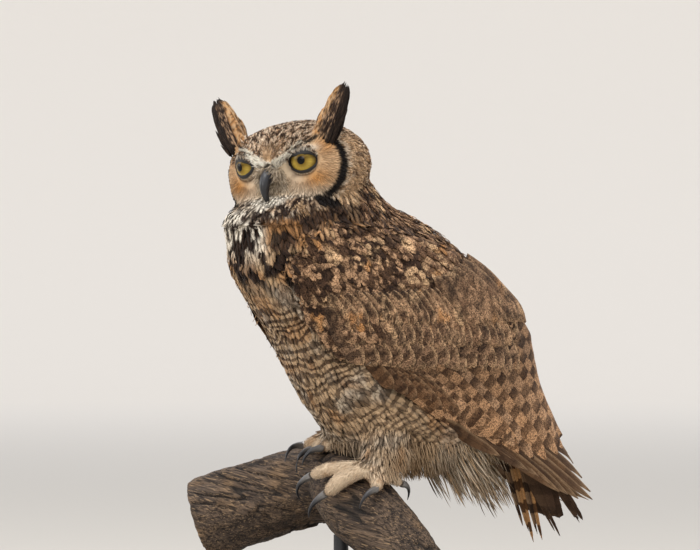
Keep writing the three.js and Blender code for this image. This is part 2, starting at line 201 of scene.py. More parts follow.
def spun(profile):
    # turns a profile of radius and height once round Z
    solid = bmesh.new()
    verts = [solid.verts.new((r, 0, z)) for r, z in profile]
    ring = [solid.edges.new(pair) for pair in zip(verts, verts[1:])]
    bmesh.ops.spin(solid, geom=verts + ring, cent=(0, 0, 0), axis=(0, 0, 1), angle=math.radians(360), steps=96,
                   use_merge=True)
    for f in solid.faces:
        f.smooth = True
    return solid


def arraysOf(mesh):
    mesh.calc_loop_triangles()
    points = np.zeros(len(mesh.vertices) * 3)
    mesh.vertices.foreach_get("co", points)
    normals = np.zeros(len(mesh.vertices) * 3)
    mesh.vertices.foreach_get("normal", normals)
    corners = np.zeros(len(mesh.loop_triangles) * 3, np.int32)
    mesh.loop_triangles.foreach_get("vertices", corners)
    return points.reshape(-1, 3), normals.reshape(-1, 3), corners.reshape(-1, 3)


def treeOf(points, corners):
    return BVHTree.FromPolygons(points.tolist(), corners.tolist())


# the skin: one closed surface inside the solids

skinPlan = {
    "voxel": 0.0026 * coarse, "soften": 5,
    "depth": {"head": 0.0022, "neck": 0.004, "trunk": 0.004, "coverts": 0.003, "ear_tuft": 0.003,
              "leg": 0.0025, "toe": 0.0009},
    "vent": [(0, 0.070, 0.192, 0.026), (0, 0.112, 0.140, 0.011)],
}
sides = ("left", "right")
toes = ("middle", "inner", "outer", "hind")
fleshNodes = ["trunk", "neck", "head"] + [f"{part}_{s}" for s in sides for part in ("ear_tuft", "leg")]
fleshNodes += [f"wing_{s}_coverts" for s in sides] + [f"toe_{s}_{t}" for s in sides for t in toes]


def kindOf(node):
    for kind in skinPlan["depth"]:
        if kind in node:
            return kind


print("skin")
kinds = list(skinPlan["depth"])
fleshPoints, fleshCorners, fleshKinds = [], [], []
for node in fleshNodes:
    start = sum(len(p) for p in fleshPoints)
    points, _, corners = arraysOf(nodes[node].data)
    fleshPoints.append(points)
    fleshCorners.append(corners + start)
    fleshKinds += [kinds.index(kindOf(node))] * len(corners)
fleshTree = treeOf(np.concatenate(fleshPoints), np.concatenate(fleshCorners))
fleshKinds = np.array(fleshKinds)

skin = copyOf("skin", fleshNodes)
work = bmesh.new()
work.from_mesh(skin.data)
ventTop, ventLow = skinPlan["vent"]
length = (Vector(ventLow[:3]) - Vector(ventTop[:3])).length
aim = (Vector(ventLow[:3]) - Vector(ventTop[:3])).to_track_quat("Z", "Y").to_matrix().to_4x4()
bmesh.ops.create_cone(work, cap_ends=True, segments=20, radius1=ventTop[3], radius2=ventLow[3], depth=length,
                      matrix=Matrix.Translation((Vector(ventTop[:3]) + Vector(ventLow[:3])) / 2) @ aim)
work.to_mesh(skin.data)
work.free()
closedOver(skin, skinPlan["voxel"], skinPlan["soften"])

points, normals, corners = arraysOf(skin.data)
outerTree = treeOf(points, corners)
nearest = [fleshTree.find_nearest(p) for p in points.tolist()]
skinKinds = fleshKinds[[hit[2] for hit in nearest]]
depth = np.array([skinPlan["depth"][kinds[k]] for k in skinKinds])
edges = np.zeros(len(skin.data.edges) * 2, np.int32)
skin.data.edges.foreach_get("vertices", edges)
edges = edges.reshape(-1, 2)
count = np.bincount(edges.ravel(), minlength=len(points))[:, None]


def spread(values, turns):
    # averages a value with its neighbours on the skin
    values = values.reshape(len(points), -1)
    for _ in range(turns):
        total = np.zeros_like(values)
        np.add.at(total, edges[:, 0], values[edges[:, 1]])
        np.add.at(total, edges[:, 1], values[edges[:, 0]])
        values = values * 0.4 + total / count * 0.6
    return values


for i, (p, n) in enumerate(zip(points.tolist(), normals.tolist())):
    p, n = Vector(p), Vector(n)
    hit = outerTree.ray_cast(p - n * 0.0004, -n, 0.02)
    if hit[0] is not None:
        depth[i] = min(depth[i], hit[3] * 0.3)
depth = spread(depth, 6)[:, 0]
points = points - normals * depth[:, None]
skin.data.vertices.foreach_set("co", points.ravel())
skin.data.update()
skin.data.polygons.foreach_set("use_smooth", [True] * len(skin.data.polygons))

bpy.context.view_layer.objects.active = skin
skin.select_set(True)
bpy.ops.object.mode_set(mode="EDIT")
bpy.ops.mesh.select_all(action="SELECT")
bpy.ops.uv.smart_project(angle_limit=1.15, island_margin=0.001)
bpy.ops.object.mode_set(mode="OBJECT")
skin.data.uv_layers[0].name = "OFBake"
points, normals, corners = arraysOf(skin.data)
skinTree = treeOf(points, corners)
triLoops = np.zeros(len(corners) * 3, np.int32)
skin.data.loop_triangles.foreach_get("loops", triLoops)
skinUv = np.zeros(len(skin.data.loops) * 2)
skin.data.uv_layers[0].data.foreach_get("uv", skinUv)
triUv = skinUv.reshape(-1, 2)[triLoops.reshape(-1, 3)]
faceKinds = skinKinds[corners[:, 0]]
print("skin has", len(corners), "triangles")


# markings, the same for skin and coat: a colour, bars and flecks for any place on the owl

discPlan = {"x": 37.0, "z": 3.5, "rim": 30.0, "half": 2.7}
browPlan = {"inner": (3.0, 8.6), "outer": (41.0, 29.0)}
earPlan = {"root": (48, -21, 24), "tip": (76, -8, 74), "wide": (0.98, 0.12, 0.10), "count": int(780 / coarse),
           "rows": 7, "half": 0.0012, "widths": ((0, 0.3, 0.7, 0.9, 1), (11.5, 12.5, 9.5, 6.5, 3.5)),
           "thick": ((0, 0.5, 0.85, 1), (6.5, 5.0, 3.0, 1.2))}


def discReach(place):
    # distance from the disc's middle, counting on round the side of the head, and the angle there
    side, y, z = np.abs(place[:, 0]), place[:, 1], place[:, 2]
    dx, dz = side - discPlan["x"], z - discPlan["z"]
    return np.hypot(dx, dz) + 0.45 * np.maximum(0, y + 22), np.degrees(np.arctan2(dz, dx))


def browReach(place):
    # share along the brow line, and height over it
    side, z = np.abs(place[:, 0]), place[:, 2]
    (x0, z0), (x1, z1) = browPlan["inner"], browPlan["outer"]
    run, rise = x1 - x0, z1 - z0
    share = ((side - x0) * run + (z - z0) * rise) / (run ** 2 + rise ** 2)
    return share, ((z - z0) * run - (side - x0) * rise) / math.hypot(run, rise)


def headMarks(place, points):
    # place is in the head's own frame, in millimetres
    side, y, z = np.abs(place[:, 0]), place[:, 1], place[:, 2]
    reach, angle = discReach(place)
    along, above = browReach(place)
    eyeReach = np.hypot(side - 33, (z - 9) * 1.15)
    rough = roughGrain(points, 0.004, 1)
    pepper = grain(points, 0.0019, 9)
    wobble = (rough - 0.5) * 2.4

    # crown, nape and cheeks: fine dark and buff
    colour = hues["fawn"]
    colour = blendTo(colour, hues["brown"], ease(0.3, 0.7, roughGrain(points, 0.010, 4)) * 0.5)
    colour = blendTo(colour, hues["umber"] * 0.7, ease(0.52, 0.565, pepper) * 0.95)
    colour = blendTo(colour, hues["cream"], ease(0.47, 0.40, pepper) * 0.85)
    cheek = ease(30, 38, reach) * ease(34, 18, z) * ease(34, 4, y)
    soft = blendTo(hues["buff"] * 1.2, hues["brown"],
                   ease(0.50, 0.64, roughGrain(points, 0.005, 7)) * 0.75)
    colour = blendTo(colour, soft, cheek * 0.75)
    colour = blendTo(colour, hues["tawny"] * 0.8, ease(5, 40, y) * 0.6 * ease(0.35, 0.6, grain(points, 0.012, 6)))
    fleck = 0.9 - cheek * 0.3

    # facial disc: pale buff, tawny below and above the eye, grey-white by the bill
    front = ease(6, -4, y)
    inside = ease(30.5, 27.5, reach + wobble * 0.6) * front * ease(2.5, 0.0, above + wobble * 0.3)
    inside = np.maximum(inside, ease(26, 20, np.hypot(side, z + 8)) * ease(-30, -36, y) * ease(2, -1, above))
    streak = grain(np.stack([angle / 5, reach / 26, side * 0], 1), 1.0, 2)
    disc = blendTo(hues["disc"], hues["cream"], ease(14, -6, side - 31) * 0.55)
    low = np.exp(-(((side - 45) / 11) ** 2 + ((z + 7) / 8) ** 2))
    high = np.exp(-(((side - 54) / 8) ** 2 + ((z - 22) / 8) ** 2))
    disc = blendTo(disc, hues["orange"], np.clip(low * 0.85 + high * 0.8, 0, 1))
    disc = blendTo(disc, hues["lore"], ease(24, 12, side) * 0.9)
    disc = blendTo(disc, hues["cream"], ease(-10, -22, z) * 0.75)
    disc = blendTo(disc, hues["white"], np.exp(-(((side - 40) / 8) ** 2 + ((z - 20) / 3.2) ** 2)))
    disc = blendTo(disc, hues["brown"], ease(0.52, 0.85, streak) * 0.45)
    disc = blendTo(disc, hues["umber"], ease(17.5, 14.0, eyeReach) * 0.5)
    colour = blendTo(colour, disc, inside)
    fleck = fleck * (1 - inside * 0.95)

    # black rim outside the disc, with a white crescent behind it
    arc = ease(-72, -62, angle) * ease(72, 60, angle) * front
    width = discPlan["half"] * (1 - 0.35 * ease(30, 65, angle))
    rim = ease(width + 1.1, width - 0.5, np.abs(reach - discPlan["rim"] + wobble * 0.5)) * arc
    crescent = ease(31.5, 33.0, reach) * ease(41, 35, reach + wobble * 2) * ease(-80, -60, angle)
    crescent = crescent * ease(66, 40, angle) * ease(14, 0, y) * ease(0.62, 0.45, grain(points, 0.003, 10))
    colour = blendTo(colour, hues["cream"], crescent * 0.75)
    colour = blendTo(colour, hues["black"], rim)
    fleck = fleck * (1 - crescent * 0.3) * (1 - rim)

    # white brow from the bill up and out, black above its outer part
    broad = 4.6 - 2.6 * np.clip(along, 0, 1)
    brow = ease(broad + 0.8, broad - 0.8, np.abs(above + 0.2) + wobble * 0.4) * ease(-0.2, -0.1, along)
    brow = brow * ease(0.86, 0.70, along) * ease(0, -10, y)
    bridge = ease(6.5, 4.0, np.hypot(side, z - 6)) * ease(-36, -42, y)
    colour = blendTo(colour, hues["white"], np.maximum(brow, bridge * 0.8))
    dark = ease(2.6, 1.2, np.abs(above + 1.0) + wobble * 0.2) * ease(0.6, 0.72, along) * ease(1.35, 1.1, along)
    dark = dark * ease(5, -8, y)
    colour = blendTo(colour, hues["black"], dark * 0.95)
    fleck = fleck * (1 - np.maximum(brow, bridge) * 0.9) * (1 - dark)

    # chin: white under the disc, then a brown and cream fan; a black patch at each side
    chin = ease(-18, -22, z + 0.12 * (side - 20)) * ease(52, 40, side) * ease(-16, -30, y)
    thin = grain(np.stack([place[:, 0] / 1.8, y / 6, z / 5], 1), 1.0, 8)
    white = blendTo(hues["white"] * 0.92, hues["umber"], ease(0.64, 0.72, thin) * 0.7)
    fan = blendTo(hues["cream"] * 0.8, hues["tawny"] * 0.7, ease(0.3, 0.6, grain(points, 0.01, 12)) * 0.5)
    fan = blendTo(fan, hues["umber"] * 0.9, ease(0.40, 0.52, thin))
    fan = blendTo(fan, hues["umber"], ease(-38, -44, z) * ease(46, 30, side) * ease(-14, 4, place[:, 0]))
    white = blendTo(white, fan, ease(-21, -27, z + 0.35 * (16 - side) + wobble))
    colour = blendTo(colour, white, chin)
    # the head is turned, so the white of the throat meets it on its right
    bib = ease(-24, -30, z) * ease(-10, -24, place[:, 0]) * ease(-10, -26, y)
    colour = blendTo(colour, hues["white"] * 0.9, bib * ease(0.66, 0.56, thin))
    patch = np.exp(-(((side - 50 + 0.75 * (z + 30)) / 5.6) ** 2 + ((z + 30) / 9.0) ** 2)) * ease(-14, -22, y)
    colour = blendTo(colour, hues["black"], ease(0.25, 0.5, patch))
    fleck = fleck * (1 - chin * 0.8) * (1 - ease(0.25, 0.5, patch))
    return colour, fleck


def tuftMarks(place, points):
    # under the ear tufts: tawny inside, black outside
    root, tip = np.array(earPlan["root"]), np.array(earPlan["tip"])
    mirrored = np.concatenate([np.abs(place[:, :1]), place[:, 1:]], 1)
    axis = unit(tip - root)
    wide = unit(np.array(earPlan["wide"]))
    wide = unit(wide - axis * (wide @ axis))
    sideways = (mirrored - root) @ wide
    colour = hues["umber"]
    colour = blendTo(colour, hues["tawny"], ease(0.45, 0.7, roughGrain(points, 0.005, 11)) * 0.6)
    speckle = grain(points, 0.0022, 13)
    warm = blendTo(hues["tawny"] * 0.95, hues["buff"], ease(0.50, 0.40, speckle) * 0.8)
    warm = blendTo(warm, hues["umber"], ease(0.54, 0.60, speckle) * 0.8)
    colour = blendTo(colour, warm, ease(-3, -7, sideways) * 0.85)
    colour = blendTo(colour, hues["black"], ease(1, 5, sideways))
    return colour, np.full(len(points), 0.3)


def bodyMarks(points):
    # neck, breast, belly and vent
    x, y, z = points.T * 1000
    count = len(points)
    front = ease(-20, -75, y + (z - 380) * 0.35)
    rough = roughGrain(points, 0.014, 21)
    fine = roughGrain(points, 0.005, 22)
    colour = hues["brown"]
    colour = blendTo(colour, hues["fawn"], ease(0.42, 0.62, fine) * 0.9)
    colour = blendTo(colour, hues["umber"], ease(0.5, 0.64, rough) * (0.85 - 0.35 * ease(350, 395, z)))
    fleck = np.full(count, 0.8)

    # under side: cream and buff, which the bars cross
    behind = ease(-5, 20, y + 90 - 1.467 * (340 - z))
    belly = ease(338, 312, z + y * 0.1) * (1 - behind)
    low = ease(280, 170, z)
    under = blendTo(hues["cream"] * 0.76, hues["buff"] * 0.82,
                    ease(0.35, 0.6, roughGrain(points, 0.03, 24)) * 0.9)
    under = blendTo(under, hues["tawny"] * 0.8, ease(0.56, 0.72, grain(points, 0.016, 25)) * 0.5)
    under = blendTo(under, hues["brown"], ease(0.52, 0.68, roughGrain(points, 0.012, 28)) * (0.6 - 0.4 * low))
    colour = blendTo(colour, under, belly)
    fleck = fleck * (1 - belly * 0.75)
    bars = belly * (0.98 - 0.25 * low)

    # upper breast: buff ground with black blotches, white in the middle of the throat
    breast = ease(306, 330, z) * front
    ground = blendTo(hues["buff"] * 0.85, hues["fawn"] * 0.75,
                     ease(0.42, 0.58, grain(points, 0.02, 26)))
    ground = blendTo(ground, hues["tawny"] * 0.8, ease(0.62, 0.75, grain(points, 0.017, 34)) * 0.7)
    throat = ease(46, 32, np.abs(x + 2)) * ease(338, 364, z + 3 * (fine - 0.5))
    ground = blendTo(ground, hues["white"] * 0.92, throat)
    spots = grain(points * np.array([1, 1, 0.75]), 0.0078, 37) * 0.7 + rough * 0.12 + fine * 0.18
    blotch = ease(0.50, 0.545, spots - 0.03 * ease(354, 366, z) * ease(46, 32, np.abs(x + 2)))
    ground = blendTo(ground, hues["umber"] * 0.75, blotch)
    colour = blendTo(colour, ground, breast)
    fleck = fleck * (1 - breast * 0.6)
    bars = bars * (1 - breast)

    # dark collar round the side of the neck, with tawny in it
    collar = ease(352, 362, z) * ease(412, 400, z) * ease(-25, -60, y) * ease(34, 44, np.abs(x))
    dark = blendTo(hues["umber"] * 0.85, hues["brown"], ease(0.4, 0.7, rough) * 0.8)
    dark = blendTo(dark, hues["tawny"] * 0.75, ease(0.54, 0.62, grain(points, 0.013, 29)) * ease(392, 380, z) * 0.8)
    dark = blendTo(dark, hues["buff"], np.exp(-(((z - 367) / 8) ** 2 + ((y + 92) / 8) ** 2)) * 0.95)
    colour = blendTo(colour, dark, collar * (0.95 - 0.35 * ease(-110, -70, y)))
    ripple = (grain(points, 0.012, 33) - 0.5) * 6
    colour = blendTo(colour, hues["umber"], ease(374, 380, z + ripple) * ease(398, 390, z) * front * 0.6
                     * ease(10, 24, x + 2) * ease(0.66, 0.5, fine))

    # plain soft vent
    vent = ease(205, 182, z) * ease(40, 64, y)
    colour = blendTo(colour, hues["cream"] * 0.85, vent * 0.9)
    bars = bars * (1 - vent)
    return colour, fleck, bars


barPitch = 0.0104


def barPhase(points):
    # distance along the lie of the belly feathers, counted in bars
    axis = unit(np.array([0, 0.5, -0.86]))
    low = unit(np.array([0, 0.72, -0.69]))
    share = ease(330, 230, points[:, 2] * 1000)
    run = (points @ axis) * (1 - share) + (points @ low) * share
    return run / barPitch + (grain(points, 0.024, 31) - 0.5) * 1.9 + (grain(points, 0.009, 32) - 0.5) * 0.9


def backMarks(points):
    # back, shoulders and wing coverts: mottled dark brown and fawn
    y, z = points[:, 1] * 1000, points[:, 2] * 1000
    rough = roughGrain(points, 0.013, 41)
    fine = roughGrain(points, 0.0038, 42)
    colour = hues["fawn"] * 0.95
    colour = blendTo(colour, hues["brown"], ease(0.38, 0.52, fine) * 0.9)
    colour = blendTo(colour, hues["umber"] * 0.85, ease(0.47, 0.58, rough) * ease(0.38, 0.52, fine) * 0.9)
    shoulder = ease(20, -60, y + (z - 320) * 0.4)
    colour = blendTo(colour, hues["umber"] * 0.8, shoulder * ease(0.42, 0.54, fine) * 0.7)
    pale = ease(0.60, 0.72, grain(points, 0.013, 43)) * ease(250, 290, z)
    colour = blendTo(colour, hues["buff"], pale * ease(0.62, 0.45, fine) * 0.8)
    warm = ease(0.80, 0.86, grain(points, 0.011, 44)) * ease(0.66, 0.5, fine)
    colour = blendTo(colour, hues["tawny"] * 0.95, warm * 0.8)
    return colour, np.full(len(points), 1.0)


def markings(points, kind):
    # colour, bar phase, bar strength and fleck strength for each point
    points = np.asarray(points, float)
    kind = np.asarray(kind)
    place = toHead(points)
    name = np.array(kinds)[kind]
    colour, fleck, bars = bodyMarks(points)
    onHead = np.maximum(np.where(name == "head", ease(-52, -42, place[:, 2]), 0),
                        np.where(name == "neck", ease(-39, -33, place[:, 2]), 0))
    nape = ((name == "neck") | (name == "trunk")) & (points[:, 1] > -0.055) & (points[:, 2] > 0.33)
    onBack = np.where((name == "coverts") | nape, 1.0, 0.0)
    onTuft = np.where(name == "ear_tuft", 1.0, 0.0)
    onFoot = np.where(name == "toe", 1.0, np.where(name == "leg", ease(0.158, 0.140, points[:, 2]), 0.0))
    warm = ease(0.45, 0.70, roughGrain(points, 0.012, 51)) * 0.4 + ease(0.130, 0.108, points[:, 2]) * 0.6
    footColour = blendTo(hues["toe"], hues["tawny"] * 0.9, np.clip(warm, 0, 0.8))
    for (hue, own), share in ((headMarks(place, points), onHead), (backMarks(points), onBack),
                              (tuftMarks(place, points), onTuft), ((footColour, np.zeros(len(points))), onFoot)):
        colour = blendTo(colour, hue, share)
        fleck = fleck + (own - fleck) * share
        bars = bars * (1 - share)
    marks = np.stack([barPhase(points), np.clip(bars, 0, 1), np.clip(fleck, 0, 1)], 1)
    return np.clip(colour, 0, 1), marks


def storeValue(mesh, name, values):
    layer = mesh.attributes.new(name=name, type="FLOAT", domain="POINT")
    layer.data.foreach_set("value", values)


def storeMarks(mesh, colour, marks):
    tint = mesh.color_attributes.new(name="tint", type="FLOAT_COLOR", domain="POINT")
    tint.data.foreach_set("color", np.concatenate([colour, np.ones((len(colour), 1))], 1).ravel())
    extra = mesh.attributes.new(name="marks", type="FLOAT_VECTOR", domain="POINT")
    extra.data.foreach_set("vector", marks.ravel())


skinColour, skinMarks = markings(points, skinKinds)
# the skin takes the coat's markings darkened by a fifth: painted shade for where it shows between the feathers
storeMarks(skin.data, skinColour * 0.8, skinMarks)


# feathers: closed thin vanes with a raised middle, joined into a few pieces

def rowsMesh(name, rows, colour, marks, patch, vane, sharp=False):
    # rows is feather, row along it, column across it; colour and marks go with rows
    count, rowCount, columns = rows.shape[:3]
    faces = []
    for r in range(rowCount - 1):
        for c in range(columns - 1):
            first = r * columns + c
            faces.append([first, first + 1, first + 1 + columns, first + columns])
        first = r * columns
        faces.append([first, first + columns, first + 2 * columns - 1, first + columns - 1])
    faces.append(list(range(columns - 1, -1, -1)))
    faces.append([(rowCount - 1) * columns + c for c in range(columns)])
    loopPattern = np.array([v for face in faces for v in face])
    loopCounts = np.array([len(face) for face in faces])
    size = rowCount * columns
    loops = (loopPattern[None, :] + np.arange(count)[:, None] * size).ravel()
    totals = np.tile(loopCounts, count)
    starts = np.concatenate([[0], np.cumsum(totals)[:-1]])
    mesh = bpy.data.meshes.new(name)
    mesh.vertices.add(count * size)
    mesh.vertices.foreach_set("co", rows.ravel())
    mesh.loops.add(len(loops))
    mesh.loops.foreach_set("vertex_index", loops)
    mesh.polygons.add(len(totals))
    mesh.polygons.foreach_set("loop_start", starts)
    mesh.polygons.foreach_set("use_smooth", np.ones(len(totals), bool))
    mesh.update(calc_edges=True)
    bake = mesh.uv_layers.new(name="OFBake")
    bake.data.foreach_set("uv", patch.reshape(-1, 2)[loops].ravel())
    own = mesh.uv_layers.new(name="vane")
    own.data.foreach_set("uv", vane.reshape(-1, 2)[loops].ravel())
    storeMarks(mesh, colour.reshape(-1, 3), marks.reshape(-1, 3))
    if sharp:
        ends = np.zeros(len(mesh.edges) * 2, np.int32)
        mesh.edges.foreach_get("vertices", ends)
        column = ends.reshape(-1, 2) % size % columns
        rim = ((column == 0).all(1) | (column == columns - 1).all(1))
        crease = mesh.attributes.new(name="sharp_edge", type="BOOLEAN", domain="EDGE")
        crease.data.foreach_set("value", rim)
    return linkMesh(name, mesh)


def growRoots(mask, spacing, seed):
    # even random places on the skin's chosen faces: place, normal, face and bake map spot
    rng = np.random.default_rng(seed)
    chosen = np.nonzero(mask)[0]
    a, b, c = (points[corners[chosen, i]] for i in range(3))
    area = np.linalg.norm(np.cross(b - a, c - a), axis=1) / 2
    total = int(area.sum() / (spacing * spacing) * 2.6)
    if total < 3:
        return np.zeros(0, int), np.zeros((0, 3)), np.zeros((0, 3)), np.zeros((0, 2))
    pick = rng.choice(len(chosen), total, p=area / area.sum())
    u, v = rng.random(total), rng.random(total)
    flip = u + v > 1
    u, v = np.where(flip, 1 - u, u), np.where(flip, 1 - v, v)
    w = 1 - u - v
    spot = a[pick] * w[:, None] + b[pick] * u[:, None] + c[pick] * v[:, None]
    tree = KDTree(total)
    for i, p in enumerate(spot.tolist()):
        tree.insert(p, i)
    tree.balance()
    kept = np.ones(total, bool)
    for i, p in enumerate(spot.tolist()):
        if kept[i]:
            for _, other, _ in tree.find_range(p, spacing):
                if other > i:
                    kept[other] = False
    pick, u, v, w, spot = pick[kept], u[kept], v[kept], w[kept], spot[kept]
    face = chosen[pick]
    blend = lambda values: (values[:, 0] * w[:, None] + values[:, 1] * u[:, None] + values[:, 2] * v[:, None])
    return face, spot, unit(blend(normals[corners[face]])), blend(triUv[face])


def drape(places, lift, tree=None):
    # nearest points on the skin, raised by lift, with the normals there
    tree = tree or skinTree
    hits = [tree.find_nearest(p) for p in places.tolist()]
    spot = np.array([hit[0] for hit in hits])
    out = np.array([hit[1] for hit in hits])
    return spot + out * np.reshape(lift, (-1, 1)), out


# shade gives each feather's brightness at root, middle and tip: painted shade, darker at the root where the feathers
# over it lie
usualFeather = {"rows": 4, "columns": 3, "stray": 0.12, "sunk": 0.0012, "swell": 0.9, "rise": 0.45, "smear": 0.6,
                "slip": 0, "faint": 0, "vary": 0.09, "shade": (0.68, 0.95, 1.05), "tree": None, "patch": 0.003,
                "outline": ((0, 0.3, 0.75, 1), (0.35, 0.9, 0.95, 0.12))}


def layFeathers(name, roots, outward, aim, length, half, lift, uv, kind, plan, seed):
    # small feathers that follow the skin from root to tip
    rng = np.random.default_rng(seed + 100)
    plan = usualFeather | plan
    count, rowCount, columns = len(roots), plan["rows"], plan["columns"]
    aim = unit(aim - outward * (aim * outward).sum(1, keepdims=True))
    turnBy = rng.normal(0, plan["stray"], count)
    sideways = np.cross(aim, outward)
    aim = unit(aim * np.cos(turnBy)[:, None] + sideways * np.sin(turnBy)[:, None])
    length = length * rng.uniform(0.85, 1.2, count)
    half = half * rng.uniform(0.85, 1.15, count)
    lift = lift * rng.uniform(0.6, 1.3, count)
    start = roots - outward * plan["sunk"]
    halfWay = (length * 0.5)[:, None]
    middle, outMiddle = drape(roots + aim * halfWay, lift * plan["swell"], plan["tree"])
    tip, outTip = drape(middle + unit(middle - start) * halfWay, lift, plan["tree"])
    control = middle * 2 - (start + tip) / 2
    s = np.linspace(0, 1, rowCount)[None, :, None]
    spine = (start[:, None] * (1 - s) ** 2 + control[:, None] * 2 * s * (1 - s) + tip[:, None] * s ** 2)
    along = unit(np.gradient(spine, axis=1))
    out = unit(outward[:, None] * (1 - s) + (outMiddle + outTip)[:, None] * 0.5 * s)
    out = unit(out - along * (out * along).sum(2, keepdims=True))
    side = np.cross(along, out)
    width = half[:, None] * np.interp(np.linspace(0, 1, rowCount), *plan["outline"])[None, :]
    col = np.linspace(-1, 1, columns)
    rows = (spine[:, :, None] + side[:, :, None] * (width[:, :, None, None] * col[None, None, :, None])
            + out[:, :, None] * (width[:, :, None, None] * plan["rise"] * (1 - col ** 2)[None, None, :, None]))
    flat = rows.reshape(-1, 3)
    kindRows = np.repeat(kind, rowCount * columns)
    anchor = np.repeat(roots, rowCount * columns, 0)
    _, rootMarks = markings(anchor[::rowCount * columns], kind)
    colour, marks = markings(anchor * (1 - plan["smear"]) + flat * plan["smear"], kindRows)
    marks[:, 0] = barPhase(flat) + np.repeat(rng.normal(0, plan["slip"], count), rowCount * columns)
    marks[:, 1] = np.repeat(rootMarks[:, 1] * rng.uniform(1 - plan["faint"], 1, count), rowCount * columns)
    shade = rng.normal(1, plan["vary"], count).clip(0.5, 1.6)
    # painted shade: each feather is darker towards its root, where the feathers above cover it
    deep = np.interp(np.linspace(0, 1, rowCount), (0, 0.5, 1), plan["shade"])
    colour = colour.reshape(count, rowCount, columns, 3) * (shade[:, None] * deep[None, :])[..., None, None]
    vaneAcross = np.broadcast_to(col[None, None, :], (count, rowCount, columns))
    patch = np.stack(np.broadcast_arrays(uv[:, None, None, 0] + vaneAcross * plan["patch"] / 2,
                                         uv[:, None, None, 1] + (s - 0.5) * plan["patch"]), -1)
    vane = np.stack([vaneAcross * width[:, :, None] * 1000,
                     np.broadcast_to(s * length[:, None, None] * 1000, (count, rowCount, columns))
                     + rng.uniform(0, 50, count)[:, None, None]], -1)
    piece = rowsMesh(name, rows, colour.clip(0, 1), marks.reshape(count, rowCount, columns, 3), patch, vane,
                     sharp=columns > 3)
    print(name, count, "feathers,", count * (2 * (columns - 1) * (rowCount - 1) + 2 * (rowCount - 1)
                                             + 2 * (columns - 2)), "triangles")
    return piece


# where the feathers lie and how they look, region by region

centres = points[corners].mean(1)
headSpots = toHead(centres)
faceNames = np.array(kinds)[faceKinds]


def aimOnHead(place):
    # lie of the head feathers in the head's own frame
    side = np.sign(place[:, 0])
    x, y, z = np.abs(place[:, 0]), place[:, 1], place[:, 2]
    flat = np.ones(len(x))
    reach, _ = discReach(place)
    along, above = browReach(place)
    radial = unit(np.stack([side * (x - 33), flat * 4.0, z - 9], 1))
    lore = unit(np.stack([side * 0.45, flat * 0.2, flat * -0.7], 1))
    back = unit(np.stack([place[:, 0] * 0.012, flat, -0.9 * ease(0, 40, y)], 1))
    upward = unit(np.stack([side * 0.8, flat * 0.25, flat * 0.55], 1))
    down = unit(np.stack([place[:, 0] * 0.006, flat * 0.2, -flat], 1))
    cheek = unit(np.stack([side * 0.1, flat * 0.75, flat * -0.75], 1))
    aim = blendTo(back, cheek, ease(28, 34, reach) * ease(34, 12, z) * ease(30, 22, z) * ease(-25, -8, y))
    aim = blendTo(aim, radial, ease(33, 29, reach) * ease(2, -1, above) * ease(6, -2, y))
    aim = blendTo(aim, lore, ease(20, 12, x) * ease(8, 0, z) * ease(-30, -38, y))
    aim = blendTo(aim, upward, ease(4.5, 2.5, np.abs(above + 0.5)) * ease(-0.2, 0, along) * ease(1.1, 0.8, along))
    return unit(blendTo(aim, down, ease(-20, -28, z) * ease(10, -5, y)))


def aimOnBody(spots):
    low = ease(340, 200, spots[:, 2] * 1000)
    aim = blendTo(np.tile([0, 0.3, -0.95], (len(spots), 1)), np.tile([0, 0.74, -0.67], (len(spots), 1)), low)
    return unit(aim)


def aimOnWing(spots):
    wingTip = np.array([0, 0.219, 0.110])
    aim = wingTip - spots
    aim[:, 0] = 0
    return unit(unit(aim) + np.array([0, 0.1, -0.35]))


# each layer's shell takes in the layers under it
wingLayers = ("coverts", "secondaries", "primaries")
shellTree = {}
for s in sides:
    for first, key in enumerate(wingLayers):
        start, shellPoints, shellCorners = 0, [], []
        for part in wingLayers[first:]:
            p, _, c = arraysOf(nodes[f"wing_{s}_{part}"].data)
            shellPoints.append(p)
            shellCorners.append(c + start)
            start += len(p)
        shellTree[s, key] = treeOf(np.concatenate(shellPoints), np.concatenate(shellCorners))


def hidden(spots, outward):
    # true where a wing lies over the place
    covered = []
    for p, n in zip(spots.tolist(), outward.tolist()):
        p, n = Vector(p), Vector(n)
        covered.append(any(shellTree[s, "secondaries"].ray_cast(p + n * 0.001, n, 0.03)[0] for s in sides))
    return np.array(covered, bool)


eyePlan = {"side": 31, "forward": -26.5, "up": 10, "radius": 17.0, "outward": 16, "down": -4,
           "iris": 12.6, "pupil": 3.7, "clear": 16.5}
coatPieces = []


def addCoat(name, mask, plan, aimBy, seed, keep=None):
    face, spot, outward, uv = growRoots(mask, plan["spacing"] * coarse, seed)
    if keep is not None:
        good = keep(spot, outward)
        face, spot, outward, uv = face[good], spot[good], outward[good], uv[good]
    place = toHead(spot)
    aim = aimBy(spot, place)
    scale = np.ones(len(spot)) if "scale" not in plan else plan["scale"](spot, place)
    piece = layFeathers(name, spot, outward, aim, plan["length"] * scale, plan["half"] * scale ** 0.5,
                        plan["lift"] * scale, uv, faceKinds[face], plan, seed)
    coatPieces.append(piece)


def clearOfEyes(spot, outward):
    place = toHead(spot)
    side = np.abs(place[:, 0]) - eyePlan["side"]
    return np.hypot(side, place[:, 2] - eyePlan["up"]) > eyePlan["clear"]


def faceScale(spot, place):
    side, z = np.abs(place[:, 0]), place[:, 2]
    nearBill = ease(22, 8, np.hypot(side, z + 4))
    nearEye = ease(28, 18, np.hypot(side - eyePlan["side"], z - eyePlan["up"]))
    return 1 - 0.35 * nearEye - 0.1 * nearBill + 0.35 * ease(-18, -34, z) * ease(8, 20, side)


def crownScale(spot, place):
    # longer at the nape, where they bridge to the neck
    return 1 + 1.3 * ease(20, 45, place[:, 1]) * ease(12, -16, place[:, 2])


